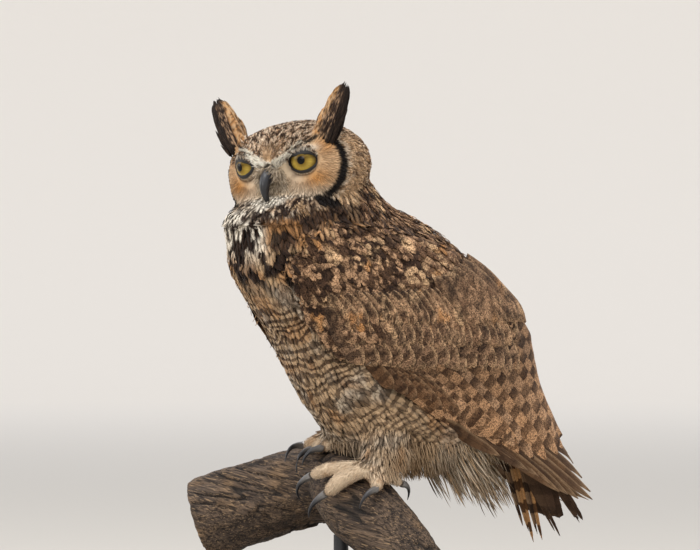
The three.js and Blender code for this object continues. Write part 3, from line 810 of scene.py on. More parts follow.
def neckScale(spot, place):
    # short under the chin, so that the tip of the bill stays clear
    return 1 - 0.58 * ease(378, 398, spot[:, 2] * 1000) * ease(-8, -36, place[:, 1])


def onWing(spot, outward):
    # small coverts stop where the rows of large ones start to show
    y, z = spot[:, 1] * 1000, spot[:, 2] * 1000
    nearEdge = y <= -92
    overTail = (y > 60) & (z > 262 + (y - 60) * 0.2) & (np.abs(spot[:, 0]) < 0.045)
    return ((z > 290 + 0.10 * y) & ~nearEdge) | ((z > 296) & nearEdge) | overTail


def wingScale(spot, place):
    y, z = spot[:, 1] * 1000, spot[:, 2] * 1000
    return 1 + 0.55 * ease(345, 298, z - 0.1 * y) * ease(-100, -70, y) - 0.5 * ease(-86, -96, y) * ease(330, 300, z)


print("coat")
isHead = faceNames == "head"
isFace = isHead & (headSpots[:, 1] < 2)
headAim = lambda spot, place: turnHead(aimOnHead(place))
bodyAim = lambda spot, place: aimOnBody(spot)
openAir = lambda spot, outward: ~hidden(spot, outward)


def clearOfWings(spot, outward):
    # belly feathers stop short of the wing's front edge, which lies over them
    shells = [shellTree[s, layer] for s in sides for layer in ("coverts", "secondaries")]
    reach = [min(shell.find_nearest(p)[3] for shell in shells) for p in spot.tolist()]
    return ~hidden(spot, outward) & ((np.array(reach) > 0.006) | (spot[:, 1] > 0) | (spot[:, 2] > 0.335))


broadTip = ((0, 0.25, 0.7, 0.9, 1), (0.3, 0.85, 1.0, 0.75, 0.22))
addCoat("coat_face", isFace,
        {"spacing": 0.00108, "length": 0.0078, "half": 0.00046, "lift": 0.0013, "rows": 4, "rise": 0.7,
         "stray": 0.12, "vary": 0.12, "scale": faceScale, "smear": 0.6, "shade": (0.8, 0.97, 1.03)},
        headAim, seed=2, keep=clearOfEyes)
addCoat("coat_crown", isHead & ~isFace,
        {"spacing": 0.00150, "length": 0.0080, "half": 0.0009, "lift": 0.0016, "rows": 4, "stray": 0.24,
         "vary": 0.22, "smear": 0.4, "scale": crownScale}, headAim, seed=3)
isUpper = ((faceNames == "neck") | (faceNames == "trunk")) & (centres[:, 2] > 0.322)
isLower = (faceNames == "trunk") & ~isUpper
addCoat("coat_neck", isUpper,
        {"spacing": 0.0026, "length": 0.0170, "half": 0.0021, "lift": 0.0032, "rows": 6, "stray": 0.17,
         "vary": 0.12, "smear": 0.6, "rise": 0.2, "scale": neckScale, "outline": broadTip},
        bodyAim, seed=5, keep=openAir)
addCoat("coat_belly", isLower,
        {"spacing": 0.0028, "length": 0.0200, "half": 0.0028, "lift": 0.0026, "rows": 6,
         "stray": 0.12, "vary": 0.10, "smear": 0.8, "rise": 0.12, "shade": (0.9, 1.0, 1.03), "slip": 0.06,
         "faint": 0.25, "outline": broadTip}, bodyAim, seed=6, keep=clearOfWings)
# the back's shade darkens each feather's root strongly: painted shade under the feathers over it
backPlan = {"spacing": 0.0029, "length": 0.0150, "half": 0.0027, "lift": 0.0022, "rows": 7, "columns": 5,
            "stray": 0.18, "vary": 0.12, "smear": 0.4, "rise": 0.16, "shade": (0.55, 0.84, 1.02),
            "scale": wingScale, "outline": broadTip}
for number, s in enumerate(sides):
    addCoat(f"coat_back_{s}", (faceNames == "coverts") & ((centres[:, 0] > 0) == (s == "left")), backPlan,
            lambda spot, place: aimOnWing(spot), seed=7 + number * 50, keep=onWing)
addCoat("coat_legs", faceNames == "leg",
        {"spacing": 0.0019, "length": 0.0140, "half": 0.0013, "lift": 0.0024, "rows": 6, "stray": 0.15,
         "smear": 0.8, "rise": 0.25, "slip": 0.1, "faint": 0.3},
        lambda spot, place: np.tile([0, 0.05, -1.0], (len(spot), 1)), seed=8)


def aimOnToes(spot, place):
    # along each toe towards its claw
    aim = np.zeros((len(spot), 3))
    best = np.full(len(spot), 1e9)
    for side in sides:
        for toe in toes:
            claw = sum(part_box(f"claw_{side}_{toe}"), Vector()) / 2
            low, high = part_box(f"toe_{side}_{toe}")
            inside = (np.maximum(np.array(low) - spot, 0) + np.maximum(spot - np.array(high), 0)).sum(1)
            off = inside + 0.02 * np.linalg.norm(spot - np.array(claw), axis=1)
            closer = off < best
            best[closer] = off[closer]
            aim[closer] = (np.array(claw) - spot)[closer]
    return unit(aim)


addCoat("coat_toes", faceNames == "toe",
        {"spacing": 0.0012, "length": 0.0048, "half": 0.00042, "lift": 0.0011, "rows": 3, "stray": 0.22,
         "smear": 0.5, "vary": 0.10, "shade": (0.72, 0.95, 1.05)}, aimOnToes, seed=9)


# big feathers of the wings and tail

def bigFeather(side, layer, root, tip, half, plan, rng):
    # one long vane laid on a layer of the wing: rows, its marks and its colours
    sign = 1 if side == "left" else -1
    tree = shellTree[side, layer]
    rowCount, columns = plan["rows"], plan["columns"]
    root, tip = np.array(root), np.array(tip)
    length = np.linalg.norm(tip - root)
    s = np.linspace(0, 1, rowCount)
    flat = root + (tip - root) * s[:, None]
    xs, outs = [], []
    last = 0.03
    for y, z in flat:
        origin = Vector((0.3 * sign, y, z))
        hit, normal, _, _ = tree.ray_cast(origin, Vector((-sign, 0, 0)))
        if hit is None or hit.x * sign < 0.0015:
            hit, normal, _, _ = tree.find_nearest(Vector((last * sign, y, z)))
        xs.append(max(hit.x * sign, 0.001))
        last = xs[-1]
        outs.append(list(normal) if normal.x * sign > 0 else [sign, 0, 0])
    xs = np.array(xs)
    for _ in range(3):
        xs = np.convolve(np.pad(xs, 1, "edge"), (0.25, 0.5, 0.25), "valid")
        outs = np.stack([np.convolve(np.pad(c, 1, "edge"), (0.25, 0.5, 0.25), "valid") for c in np.array(outs).T], 1)
    spine = np.stack([xs * sign, flat[:, 0], flat[:, 1]], 1)
    along = unit(np.gradient(spine, axis=0))
    outs = unit(outs - along * (outs * along).sum(1, keepdims=True))
    across = np.cross(along, outs) * sign   # points to the wing's upper edge
    width = half * np.interp(s, *plan["outline"])
    col = np.linspace(-1, 1, columns)
    rows = spine[:, None] + across[:, None] * (width[:, None, None] * col[None, :, None])
    lift = plan["lift"] + plan["roll"] * -col * half + plan["camber"] * half * (1 - col ** 2)
    for r in range(rowCount):
        for c in range(columns):
            near = tree.find_nearest(Vector(rows[r, c]))[0]
            off = float(np.clip(np.dot(np.array(near) - rows[r, c], outs[r]), -0.006, 0.006))
            rows[r, c] += outs[r] * off
    for _ in range(2):
        rows[1:-1] = rows[1:-1] * 0.5 + (rows[:-2] + rows[2:]) * 0.25
    rows = rows + outs[:, None] * lift[None, :, None]
    if sign < 0:
        rows = rows[:, ::-1]
        col = col[::-1]
    rng.normal(size=2 * (rowCount - 2))   # spare draws, which keep the later ones as they are
    vane = np.stack(np.broadcast_arrays(width[:, None] * 1000 * col[None, :], (s * length * 1000)[:, None]), -1)
    return rows, vane, s, col


def bigFeatherPiece(name, feathers):
    rows, colour, marks, vane = (np.stack([f[key] for f in feathers]) for key in ("rows", "colour", "marks", "vane"))
    count, rowCount, columns = rows.shape[:3]
    perSide = int(math.ceil(math.sqrt(count * 4)))
    cell = 1 / perSide
    patch = np.zeros((count, rowCount, columns, 2))
    for i in range(count):
        u0, v0 = (i % perSide) * cell, (i // perSide) * cell * 4
        patch[i, :, :, 0] = u0 + cell * (0.1 + 0.8 * np.linspace(0, 1, columns))[None, :]
        patch[i, :, :, 1] = (v0 + cell * 4 * (0.03 + 0.94 * np.linspace(0, 1, rowCount))[:, None]) % 1.0
    piece = rowsMesh(name, rows, colour, marks, patch, vane, sharp=True)
    coatPieces.append(piece)
    print(name, count, "big feathers")
    return piece


def line(first, last, count):
    return [tuple(np.array(first) + (np.array(last) - np.array(first)) * k / max(count - 1, 1)) for k in range(count)]


rounded = ((0, 0.12, 0.5, 0.8, 0.93, 1), (0.3, 0.8, 1.0, 0.95, 0.7, 0.12))
pointed = ((0, 0.1, 0.45, 0.75, 0.92, 1), (0.35, 0.8, 1.0, 0.8, 0.45, 0.06))
wingPlan = {
    "primaries": {"layer": "primaries", "half": 0.0070, "rows": 24, "columns": 5, "lift": 0.0002, "roll": 0.07,
                  "camber": 0.05, "outline": pointed, "pitch": 0.020, "light": "brown", "shade": 0.58, "plain": 0.9,
                  "fleck": 0.30, "bars": 0.6, "edge": 0.4, "tawny": 0.25, "barsEnd": 0.62,
                  "roots": line((0.040, 0.235), (-0.004, 0.206), 14),
                  "tips": [(0.196, 0.160), (0.205, 0.147), (0.213, 0.134), (0.219, 0.122), (0.221, 0.112),
                           (0.212, 0.109), (0.202, 0.113), (0.190, 0.118), (0.178, 0.123), (0.165, 0.129),
                           (0.151, 0.135), (0.136, 0.142), (0.120, 0.150), (0.103, 0.158)]},
    "secondaries": {"layer": "secondaries", "half": 0.0125, "rows": 28, "columns": 5, "lift": 0.0006, "roll": 0.10,
                    "camber": 0.05, "outline": rounded, "pitch": 0.0225, "light": "fawn", "shade": 1.12,
                    "plain": 0.85, "fleck": 0.9, "bars": 1.0, "edge": 0.0, "tawny": 0.3, "barsEnd": 1,
                    "roots": line((0.112, 0.290), (0.108, 0.262), 3) + line((0.104, 0.248), (-0.037, 0.240), 9),
                    "tips": [(0.170, 0.226), (0.181, 0.206), (0.188, 0.187), (0.189, 0.174), (0.184, 0.163),
                             (0.173, 0.156), (0.158, 0.153), (0.141, 0.154), (0.122, 0.159), (0.102, 0.167),
                             (0.081, 0.176), (0.059, 0.186)]},
    # the alula's shade of 0.8 darkens it: partly its own dark brown, partly painted shade where it lies in shadow
    # between wing and belly
    "alula": {"layer": "secondaries", "half": 0.007, "rows": 14, "columns": 5, "lift": 0.0010, "roll": 0.10,
              "camber": 0.08, "outline": rounded, "pitch": 0.013, "light": "brown", "shade": 0.8, "plain": 0.9,
              "fleck": 0.7, "bars": 0.8, "edge": 0.25, "tawny": 0.2, "barsEnd": 1,
              "roots": line((-0.004, 0.236), (-0.056, 0.254), 7), "tips": line((0.050, 0.196), (-0.026, 0.222), 7)},
    "greaterCoverts": {"layer": "coverts", "half": 0.0100, "rows": 16, "columns": 5, "lift": 0.0016, "roll": 0.10,
                       "camber": 0.06, "outline": rounded, "pitch": 0.0150, "light": "greyBrown", "shade": 1.0,
                       "plain": 0.5, "fleck": 1.0, "bars": 0.85, "edge": 0.6, "tawny": 0.12, "barsEnd": 1,
                       "roots": line((0.078, 0.290), (-0.088, 0.286), 16),
                       "tips": line((0.118, 0.238), (-0.056, 0.243), 16)},
    "medianCoverts": {"layer": "coverts", "half": 0.0085, "rows": 12, "columns": 5, "lift": 0.0028, "roll": 0.10,
                      "camber": 0.08, "outline": rounded, "pitch": 0.014, "light": "greyBrown", "shade": 0.95,
                      "plain": 0.3, "fleck": 1.0, "bars": 0.5, "edge": 0.5, "tawny": 0.12, "barsEnd": 1,
                      "roots": line((0.070, 0.304), (-0.094, 0.300), 19),
                      "tips": line((0.102, 0.262), (-0.070, 0.264), 19)},
    "lesserCoverts": {"layer": "coverts", "half": 0.0070, "rows": 10, "columns": 5, "lift": 0.0036, "roll": 0.10,
                      "camber": 0.10, "outline": rounded, "pitch": 0.020, "light": "fawn", "shade": 0.85,
                      "plain": 0.1, "fleck": 1.0, "bars": 0.3, "edge": 0.5, "tawny": 0.2, "barsEnd": 1,
                      "roots": line((0.062, 0.318), (-0.094, 0.312), 22),
                      "tips": line((0.088, 0.284), (-0.074, 0.282), 22)},
    "scapulars": {"layer": "coverts", "half": 0.0105, "rows": 14, "columns": 5, "lift": 0.0046, "roll": 0.06,
                  "camber": 0.08, "outline": rounded, "pitch": 0.022, "light": "fawn", "shade": 0.9,
                  "plain": 0.15, "fleck": 1.0, "bars": 0.2, "edge": 0.3, "tawny": 0.25, "barsEnd": 1,
                  "roots": line((0.056, 0.345), (0.010, 0.322), 7),
                  "tips": line((0.128, 0.284), (0.062, 0.284), 7)},
}


def dressWing(side, seed):
    rng = np.random.default_rng(seed)
    for part, plan in wingPlan.items():
        feathers = []
        runs = np.array(plan["tips"]) - np.array(plan["roots"])
        axis = unit(runs.mean(0))
        for k, (root, tip) in enumerate(zip(plan["roots"], plan["tips"])):
            root, tip = np.array(root) + rng.normal(0, 0.0008, 2), np.array(tip) + rng.normal(0, 0.0012, 2)
            rows, vane, s, col = bigFeather(side, plan["layer"], root, tip, plan["half"] * rng.uniform(0.95, 1.05),
                                            plan | {"lift": plan["lift"] - k * 0.00003}, rng)
            shape = (len(s), len(col))
            light = mixHue(hues[plan["light"]], hues["tawny"], plan["tawny"] * rng.random())
            own, _ = backMarks(rows.reshape(-1, 3))
            colour = mixHue(own, light * plan["shade"], plan["plain"]).reshape(*shape, 3) * rng.uniform(0.88, 1.12)
            # painted shade: each feather is darker towards its root, where the row above lies over it
            colour = colour * np.interp(s, (0, 0.45, 0.8, 1), (0.5, 0.8, 1.0, 1.02))[:, None, None]
            pale = plan["edge"] * np.maximum(ease(-0.6, -1, col)[None], ease(0.88, 0.97, s)[:, None]) * np.ones(shape)
            colour = blendTo(colour, hues["buff"], pale)
            phase = rows[..., 1:] @ axis / plan["pitch"] + (k % 2) * 0.5 + rng.uniform(-0.09, 0.09)
            strength = plan["bars"] * np.where(s > plan["barsEnd"], 0.4, 1.0)[:, None] * (1 - pale)
            strength = strength * (0.8 + 0.2 * np.sin(s * 40 + rng.uniform(0, 6)))[:, None]
            marks = np.stack(np.broadcast_arrays(phase, strength, plan["fleck"]), -1)
            feathers.append({"rows": rows, "colour": colour.clip(0, 1), "marks": marks, "vane": vane})
        bigFeatherPiece(f"{part}_{side}", feathers)


print("wings")
for number, s in enumerate(sides):
    dressWing(s, 60 + number)


# tail: a narrow fan of long feathers with soft long down under it

tailPlan = {"rows": 24, "columns": 5, "pitch": 0.021, "barsFrom": 0.078}
acrossTail = (0.99, 0, 0.16)


def tailFeather(root, tip, half, light, rng, wide=acrossTail, bars=0.9, bow=0.003, outline=rounded):
    root, tip = np.array(root), np.array(tip)
    axis = unit(tip - root)
    wide = np.array(wide)
    wide = unit(wide - axis * (wide @ axis))
    up = np.cross(wide, axis)
    if up[1] < 0:
        up = -up
    s = np.linspace(0, 1, tailPlan["rows"])
    spine = root + (tip - root) * s[:, None] + up * (bow * np.sin(s * math.pi))[:, None]
    col = np.linspace(-1, 1, tailPlan["columns"])
    width = half * np.interp(s, *outline)
    rows = (spine[:, None] + wide * (width[:, None] * col[None, :])[..., None]
            + up * (half * 0.07 * (1 - col ** 2))[None, :, None])
    if np.dot(np.cross(wide, axis), up) < 0:
        rows = rows[:, ::-1]
        col = col[::-1]
    length = np.linalg.norm(tip - root)
    for edge in (0, -1):
        rows[-6:-1, edge] += axis * rng.normal(0, 0.0018, (5, 1))
    rows[-1] -= axis * (half * 0.25 * np.abs(col) * rng.uniform(0.5, 1.5, len(col)))[:, None]
    vane = np.stack(np.broadcast_arrays(width[:, None] * 1000 * col[None, :], (s * length * 1000)[:, None]), -1)
    pale = ease(-0.5, -1, col)[None] * (0.5 if bars > 0.7 else 0.1) * np.ones((len(s), 1))
    colour = blendTo(light * rng.uniform(0.9, 1.1), hues["buff"] * 0.9, pale)
    # painted shade: darker at the root, under the coverts; also a little darker towards the tip
    colour = colour * np.interp(s, (0, 0.5, 1), (0.75, 1, 0.8))[:, None, None]
    phase = (rows[..., 2] - tailPlan["barsFrom"]) / tailPlan["pitch"] + rng.uniform(-0.3, 0.3)
    marks = np.stack(np.broadcast_arrays(phase, bars, 0.3), -1)
    return {"rows": rows, "colour": colour.clip(0, 1), "marks": marks, "vane": vane}


print("tail")
rng = np.random.default_rng(80)
darkTail = mixHue(hues["umber"], hues["brown"], 0.45)
warmTail = mixHue(hues["orange"], hues["fawn"], 0.35) * 0.85
broadTail = [tailFeather((x, 0.126, 0.206), (x * 1.6, y, z), 0.0115, darkTail, rng, (0.8, 0.5, 0.2), 0.35)
             for x, y, z in ((-0.012, 0.172, 0.100), (0.012, 0.176, 0.100), (-0.007, 0.186, 0.096),
                             (0.007, 0.190, 0.095), (0, 0.197, 0.094))]
narrowTail = [tailFeather((0.008 - k * 0.0006, y, 0.192), (0.008 - k * 0.0006, yTip, zTip), half, hue, rng,
                          (0.47, 0.88, 0), 0.95, outline=pointed)
              for k, (y, yTip, zTip, half, hue) in enumerate((
                  (0.140, 0.173, 0.074, 0.0030, warmTail), (0.136, 0.168, 0.080, 0.0032, darkTail),
                  (0.132, 0.164, 0.072, 0.0028, warmTail), (0.126, 0.159, 0.083, 0.0030, warmTail * 0.8),
                  (0.119, 0.153, 0.088, 0.0028, darkTail)))]
wisps = [tailFeather((x, y, z), (x, yTip, zTip), half, darkTail, rng, (0.5, 0.85, 0.3), 0.4, outline=pointed)
         for x, y, z, yTip, zTip, half in ((0.0, 0.172, 0.158, 0.223, 0.092, 0.0042),
                                           (0.002, 0.168, 0.158, 0.218, 0.090, 0.0034),
                                           (0.001, 0.160, 0.140, 0.197, 0.077, 0.0020),
                                           (0.001, 0.155, 0.140, 0.191, 0.082, 0.0016))]
tail = bigFeatherPiece("tail_feathers", broadTail + narrowTail)
loose = bigFeatherPiece("tail_loose", wisps)


def strands(name, spine, outward, half, colour, seed, uv=None, outline=((0, 0.4, 0.8, 1), (0.6, 1, 0.7, 0.08))):
    # soft strands along given lines, each a thin closed vane that narrows to a point
    rng = np.random.default_rng(seed)
    count, rowCount = spine.shape[:2]
    s = np.linspace(0, 1, rowCount)
    along = unit(np.gradient(spine, axis=1))
    out = unit(outward + rng.normal(0, 0.25, (count, 3)))[:, None] * np.ones((1, rowCount, 1))
    out = unit(out - along * (out * along).sum(2, keepdims=True))
    side = np.cross(along, out)
    width = half[:, None] * np.interp(s, *outline)[None]
    col = np.array([-1.0, 0, 1.0])
    rows = (spine[:, :, None] + side[:, :, None] * (width[:, :, None] * col)[..., None]
            + out[:, :, None] * (width[:, :, None] * 0.5 * (1 - col ** 2))[..., None])
    paint = (colour * rng.normal(1, 0.1, count).clip(0.7, 1.3)[:, None, None])[:, :, None]
    paint = np.broadcast_to(paint, rows.shape)
    if uv is None:
        uv = triUv[[skinTree.find_nearest(p)[2] for p in spine[:, 0].tolist()]].mean(1)
    spot = np.stack(np.broadcast_arrays(col[None, None] * 0.0015, (s[None, :, None] - 0.5) * 0.003), -1)
    patch = uv[:, None, None] + spot
    vane = np.stack(np.broadcast_arrays(width[:, :, None] * 1000 * col,
                                        s[None, :, None] * 20 + rng.uniform(0, 50, (count, 1, 1))), -1)
    piece = rowsMesh(name, rows, paint.clip(0, 1), np.zeros(rows.shape), patch, vane)
    coatPieces.append(piece)
    print(name, count, "strands")


def curved(roots, tips, bend, rowCount):
    s = np.linspace(0, 1, rowCount)[None, :, None]
    return roots[:, None] + (tips - roots)[:, None] * s + bend[:, None] * (4 * s * (1 - s))


def makeVentDown(seed):
    # long white down with dark tips under the tail
    rows, mask = 6, (faceNames == "trunk") & (centres[:, 1] > 0.058) & (centres[:, 2] < 0.208)
    _, spot, outward, uv = growRoots(mask, 0.0021 * coarse, seed)
    low = ~hidden(spot, outward) & (spot[:, 2] < 0.200 - 0.4 * (spot[:, 1] - 0.07))
    spot, outward, uv = spot[low], outward[low], uv[low]
    count = len(spot)
    rng = np.random.default_rng(seed + 1)
    fall = unit(np.array([0, 0.52, -0.85]) + outward * 0.12 + rng.normal(0, 0.09, (count, 3)))
    reach = rng.uniform(0.8, 1.15, count) * 0.032 * (0.75 + 0.5 * ease(0.19, 0.15, spot[:, 2]))
    reach = (reach * (0.5 + 0.75 * ease(0.4, 0.6, grain(spot, 0.011, seed + 3))))[:, None]
    steps = np.linspace(0, 1, rows)
    dark = (rng.random(count) < 0.2)[:, None] * ease(0.72, 0.86, steps)[None, :]
    paint = blendTo(hues["cream"], hues["buff"] * 0.9, np.repeat(rng.random(count)[:, None], rows, 1))
    # dark tips on some strands; each strand is also darker at its root: painted shade in the thick of the down
    paint = blendTo(paint, hues["umber"], dark) * np.interp(steps, (0, 0.4, 1), (0.75, 0.95, 1))[None, :, None]
    strands("vent_down", curved(spot - outward * 0.001, spot + fall * reach, outward * reach * 0.06, rows),
            outward, np.full(count, 0.0010), paint, seed + 2, uv)


makeVentDown(90)


# ear tufts: a blade of long feathers, tawny inside and black outside

def makeEarTuft(side, seed):
    rng = np.random.default_rng(seed)
    mirror = np.array([1 if side == "left" else -1, 1, 1])
    root, tip = np.array(earPlan["root"]), np.array(earPlan["tip"])
    axis, wide = unit(tip - root), unit(np.array(earPlan["wide"]) - np.array([0, 0.4 if side == "right" else 0, 0]))
    wide = unit(wide - axis * (wide @ axis))
    deep = np.cross(axis, wide)
    count, steps = earPlan["count"], np.linspace(0, 1, earPlan["rows"])
    a = rng.uniform(-1, 1, count)
    b = np.where(rng.random(count) < 0.5, -1, 1) * np.sqrt(np.maximum(0, 1 - a ** 2)) * rng.uniform(0.6, 1, count)
    start = rng.uniform(0, 0.72, count)
    end = np.minimum(start + rng.uniform(0.24, 0.36, count), rng.uniform(0.90, 1.05, count))
    share = start[:, None] + (end - start)[:, None] * steps[None]
    wander = a[:, None] + rng.normal(0, 0.12, count)[:, None] * steps[None]
    over = b[:, None] * np.interp(share, *earPlan["thick"]) * np.linspace(0.7, 1.05, earPlan["rows"])
    spine = (root + axis * (np.linalg.norm(tip - root) * share)[..., None]
             + wide * (wander * np.interp(share, *earPlan["widths"]))[..., None] + deep * over[..., None])
    edge = a[:, None] + 0 * share
    speck = rng.random((count, earPlan["rows"]))
    colour = hues["umber"] * 0.95
    colour = blendTo(colour, hues["fawn"], ease(0.60, 0.75, speck) * 0.9 * ease(0.95, 0.7, share))
    inner = ease(-0.35, -0.62, edge) * ease(1.0, 0.86, share)
    warm = blendTo(hues["orange"] * 0.95, hues["buff"],
                   ease(0.1, 0.8, speck) * 0.85)
    warm = blendTo(warm, hues["umber"], ease(0.34, 0.24, speck) * 0.85)
    colour = blendTo(colour, warm, inner * (0.35 + 0.6 * ease(0.3, 0.6, share)))
    outer = np.maximum(ease(0.20, 0.50, edge), ease(0.90, 0.97, share))
    colour = blendTo(colour, mixHue(hues["black"], hues["umber"], 0.25), outer * 0.95)
    spine = (spine * mirror) @ headArray[:3, :3].T / 1000 + headArray[:3, 3]
    out = turnHead(deep * mirror)[None] * np.sign(b)[:, None]
    strands(f"ear_tuft_feathers_{side}", spine, out, np.full(count, earPlan["half"]), colour, seed,
            outline=((0, 0.3, 0.75, 1), (0.6, 1, 0.8, 0.1)))


for number, s in enumerate(sides):
    makeEarTuft(s, 120 + number)


def headStrands(name, places, aims, length, half, colours, rows, seed, droop=0.0):
    # fine strands rooted on the head, from places and aims in its own frame
    flat = places @ headArray[:3, :3].T / 1000 + headArray[:3, 3]
    spot, outward = drape(flat, -0.0008)
    aim = turnHead(unit(aims))
    tips = spot + aim * length[:, None]
    bend = outward * (length * 0.10)[:, None] - np.array([0, 0, 1.0]) * (length * droop)[:, None]
    strands(name, curved(spot, tips, bend, rows), outward, np.full(len(spot), half), colours, seed)


def makeBristles(seed):
    # stiff pale bristles over the root of the bill and down past it
    rng = np.random.default_rng(seed)
    count = int(1500 / coarse)
    side = np.where(rng.random(count) < 0.5, -1, 1)
    x, z = rng.uniform(0, 17, count), rng.uniform(-20, 10, count)
    places = np.stack([side * x, np.full(count, -52.0), z], 1)
    spread = (x - 3) / 14
    aims = np.stack([side * (0.05 + 0.5 * spread) + rng.normal(0, 0.12, count), -0.75 + 0.5 * spread,
                     -0.75 + rng.normal(0, 0.15, count) + 0.3 * ease(0, 8, z)], 1)
    steps = np.linspace(0, 1, 4)
    tint = blendTo(hues["cream"], hues["lore"] * 0.8,
                   np.repeat(rng.random(count)[:, None], 4, 1))
    dark = (rng.random(count) < 0.3)[:, None] * ease(0.4, 0.9, steps)[None]
    tint = blendTo(tint, hues["umber"], dark)
    length = rng.uniform(0.006, 0.012, count) + 0.004 * ease(6, 2, x) * ease(-2, 4, z)
    headStrands("bill_bristles", places, aims, length, 0.00034, tint, 4, seed, 0.05)


def makeBrows(seed):
    # white brow feathers standing up and out between the eyes
    rng = np.random.default_rng(seed)
    count = int(900 / coarse)
    side = np.where(rng.random(count) < 0.5, -1, 1)
    share = rng.uniform(-0.12, 0.74, count)
    (x0, z0), (x1, z1) = browPlan["inner"], browPlan["outer"]
    x = x0 + (x1 - x0) * share + rng.normal(0, 0.8, count)
    z = z0 + (z1 - z0) * share - 1.5 + rng.normal(0, 1, count) * (2.0 - 1.2 * np.clip(share, 0, 1))
    places = np.stack([side * x, -50 + 14 * share, z], 1)
    aims = np.stack([side * (0.6 + 0.2 * share), -0.5 + 0.2 * share, np.full(count, 0.5)], 1)
    aims = aims + rng.normal(0, 0.1, (count, 3))
    tint = blendTo(hues["white"], hues["umber"],
                   (rng.random(count) < 0.10)[:, None] * np.linspace(0, 1, 4)[None])
    headStrands("brow_feathers", places, aims, rng.uniform(0.005, 0.0085, count), 0.0005, tint, 4, seed)


def makeBrowShelf(seed):
    # short dark feathers that jut out over each eye and shade it
    rng = np.random.default_rng(seed)
    count = int(700 / coarse)
    side = np.where(rng.random(count) < 0.5, -1, 1)
    x = rng.uniform(17, 50, count)
    z = 18.2 + 3.0 * ease(16, 34, x) - 3.5 * ease(40, 52, x) + rng.normal(0, 0.8, count)
    places = np.stack([side * x, -50 + 0.45 * (x - 16), z], 1)
    aims = np.stack([side * (0.15 + 0.012 * (x - 17)), np.full(count, -0.8), np.full(count, -0.18)], 1)
    aims = aims + rng.normal(0, 0.10, (count, 3))
    tint = blendTo(hues["brown"], hues["umber"] * 0.8,
                   np.repeat(ease(26, 18, x)[:, None], 4, 1) * 0.8)
    tint = blendTo(tint, hues["cream"], np.repeat((rng.random(count) < 0.35)[:, None] * 0.8, 4, 1))
    headStrands("brow_shelf", places, aims, rng.uniform(0.0045, 0.007, count), 0.00045, tint, 4, seed)


def makeChinFan(seed):
    # long soft chin feathers, cream with narrow brown bars, spread over the collar
    rng = np.random.default_rng(seed)
    count, rows = int(1000 / coarse), 9
    side = np.where(rng.random(count) < 0.5, -1, 1)
    x = rng.uniform(0, 30, count)
    z = -29 - rng.uniform(0, 10, count) + 0.14 * x
    places = np.stack([side * x, -56 + 0.35 * x, z], 1)
    aims = np.stack([side * (0.05 + 0.018 * x) + rng.normal(0, 0.14, count), -0.30 + rng.normal(0, 0.12, count),
                     -0.9 + 0 * x], 1)
    steps = np.linspace(0, 1, rows)
    length = rng.uniform(0.009, 0.016, count)
    ground = blendTo(hues["buff"] * 0.9, hues["tawny"] * 0.6,
                     np.repeat(rng.random(count)[:, None], rows, 1) * ease(0.1, 0.7, steps)[None] * 0.8)
    wave = np.sin((steps[None] * length[:, None] / 0.0042 + rng.random(count)[:, None]) * 2 * math.pi)
    tint = blendTo(ground, hues["umber"] * 0.9, ease(0.0, 0.5, wave) * ease(0.25, 0.5, steps)[None] * 0.95)
    tint = blendTo(tint, hues["umber"] * 0.9, (rng.random(count) < 0.25)[:, None] * ease(0.5, 0.8, steps)[None])
    headStrands("chin_fan", places, aims, length, 0.00048, tint, rows, seed, 0.04)


makeBristles(140)
makeBrows(141)
makeBrowShelf(142)
makeChinFan(143)


def makeFringe(seed):
    # loose soft ends where the belly meets the feet
    rng = np.random.default_rng(seed)
    low = (faceNames == "trunk") & (centres[:, 2] < 0.176) & (centres[:, 1] < 0.075)
    low |= (faceNames == "leg") & (centres[:, 2] > 0.144) & (centres[:, 2] < 0.170)
    face, spot, outward, uv = growRoots(low, 0.0023 * coarse, seed)
    count, rows = len(spot), 6
    fall = unit(np.array([0, 0.22, -0.95]) + outward * 0.22 + rng.normal(0, 0.10, (count, 3)))
    reach = rng.uniform(0.010, 0.018, count)
    tint, _ = markings(spot, faceKinds[face])
    tint = np.repeat(mixHue(tint, hues["buff"] * 0.95, 0.35)[:, None], rows, 1)
    strands("belly_fringe", curved(spot, spot + fall * reach[:, None], outward * reach[:, None] * 0.12, rows),
            outward, np.full(count, 0.00055), tint, seed + 1, uv)


makeFringe(150)


# eyes: a ball with a clear bulge, marked from its own flat map round the gaze

def gazeFrame(side):
    sign = 1 if side == "left" else -1
    turned = (Matrix.Rotation(math.radians(eyePlan["outward"] * sign), 4, "Z")
              @ Matrix.Rotation(math.radians(eyePlan["down"]), 4, "X"))
    centre = Matrix.Translation((eyePlan["side"] * sign / 1000, eyePlan["forward"] / 1000, eyePlan["up"] / 1000))
    return headPlace @ centre @ turned @ Matrix.Rotation(math.radians(90), 4, "X")   # its own Z is the gaze


def makeEye(side):
    ball = bmesh.new()
    radius = eyePlan["radius"] / 1000
    bmesh.ops.create_uvsphere(ball, u_segments=48, v_segments=36, radius=radius)
    flat = ball.loops.layers.uv.new("gaze")
    for f in ball.faces:
        f.smooth = True
        for loop in f.loops:
            behind = loop.vert.co.z < 0
            r = math.hypot(loop.vert.co.x, loop.vert.co.y)
            share = min(1.0, r / radius)
            reach = 2 - share if behind else share
            k = reach * 0.25 / max(share, 1e-4)
            loop[flat].uv = (0.5 + loop.vert.co.x / radius * k, 0.5 + loop.vert.co.y / radius * k)
    for v in ball.verts:
        r = math.hypot(v.co.x, v.co.y) / radius
        if v.co.z > 0 and r < 0.75:
            v.co.z += 0.0016 * (1 - (r / 0.75) ** 2) ** 2
    ball.transform(gazeFrame(side))
    piece = linkMesh(f"eye_{side}_ball", meshFrom(ball, f"eye_{side}_ball"))
    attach(piece, "root")
    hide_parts(f"eye_{side}")
    return piece


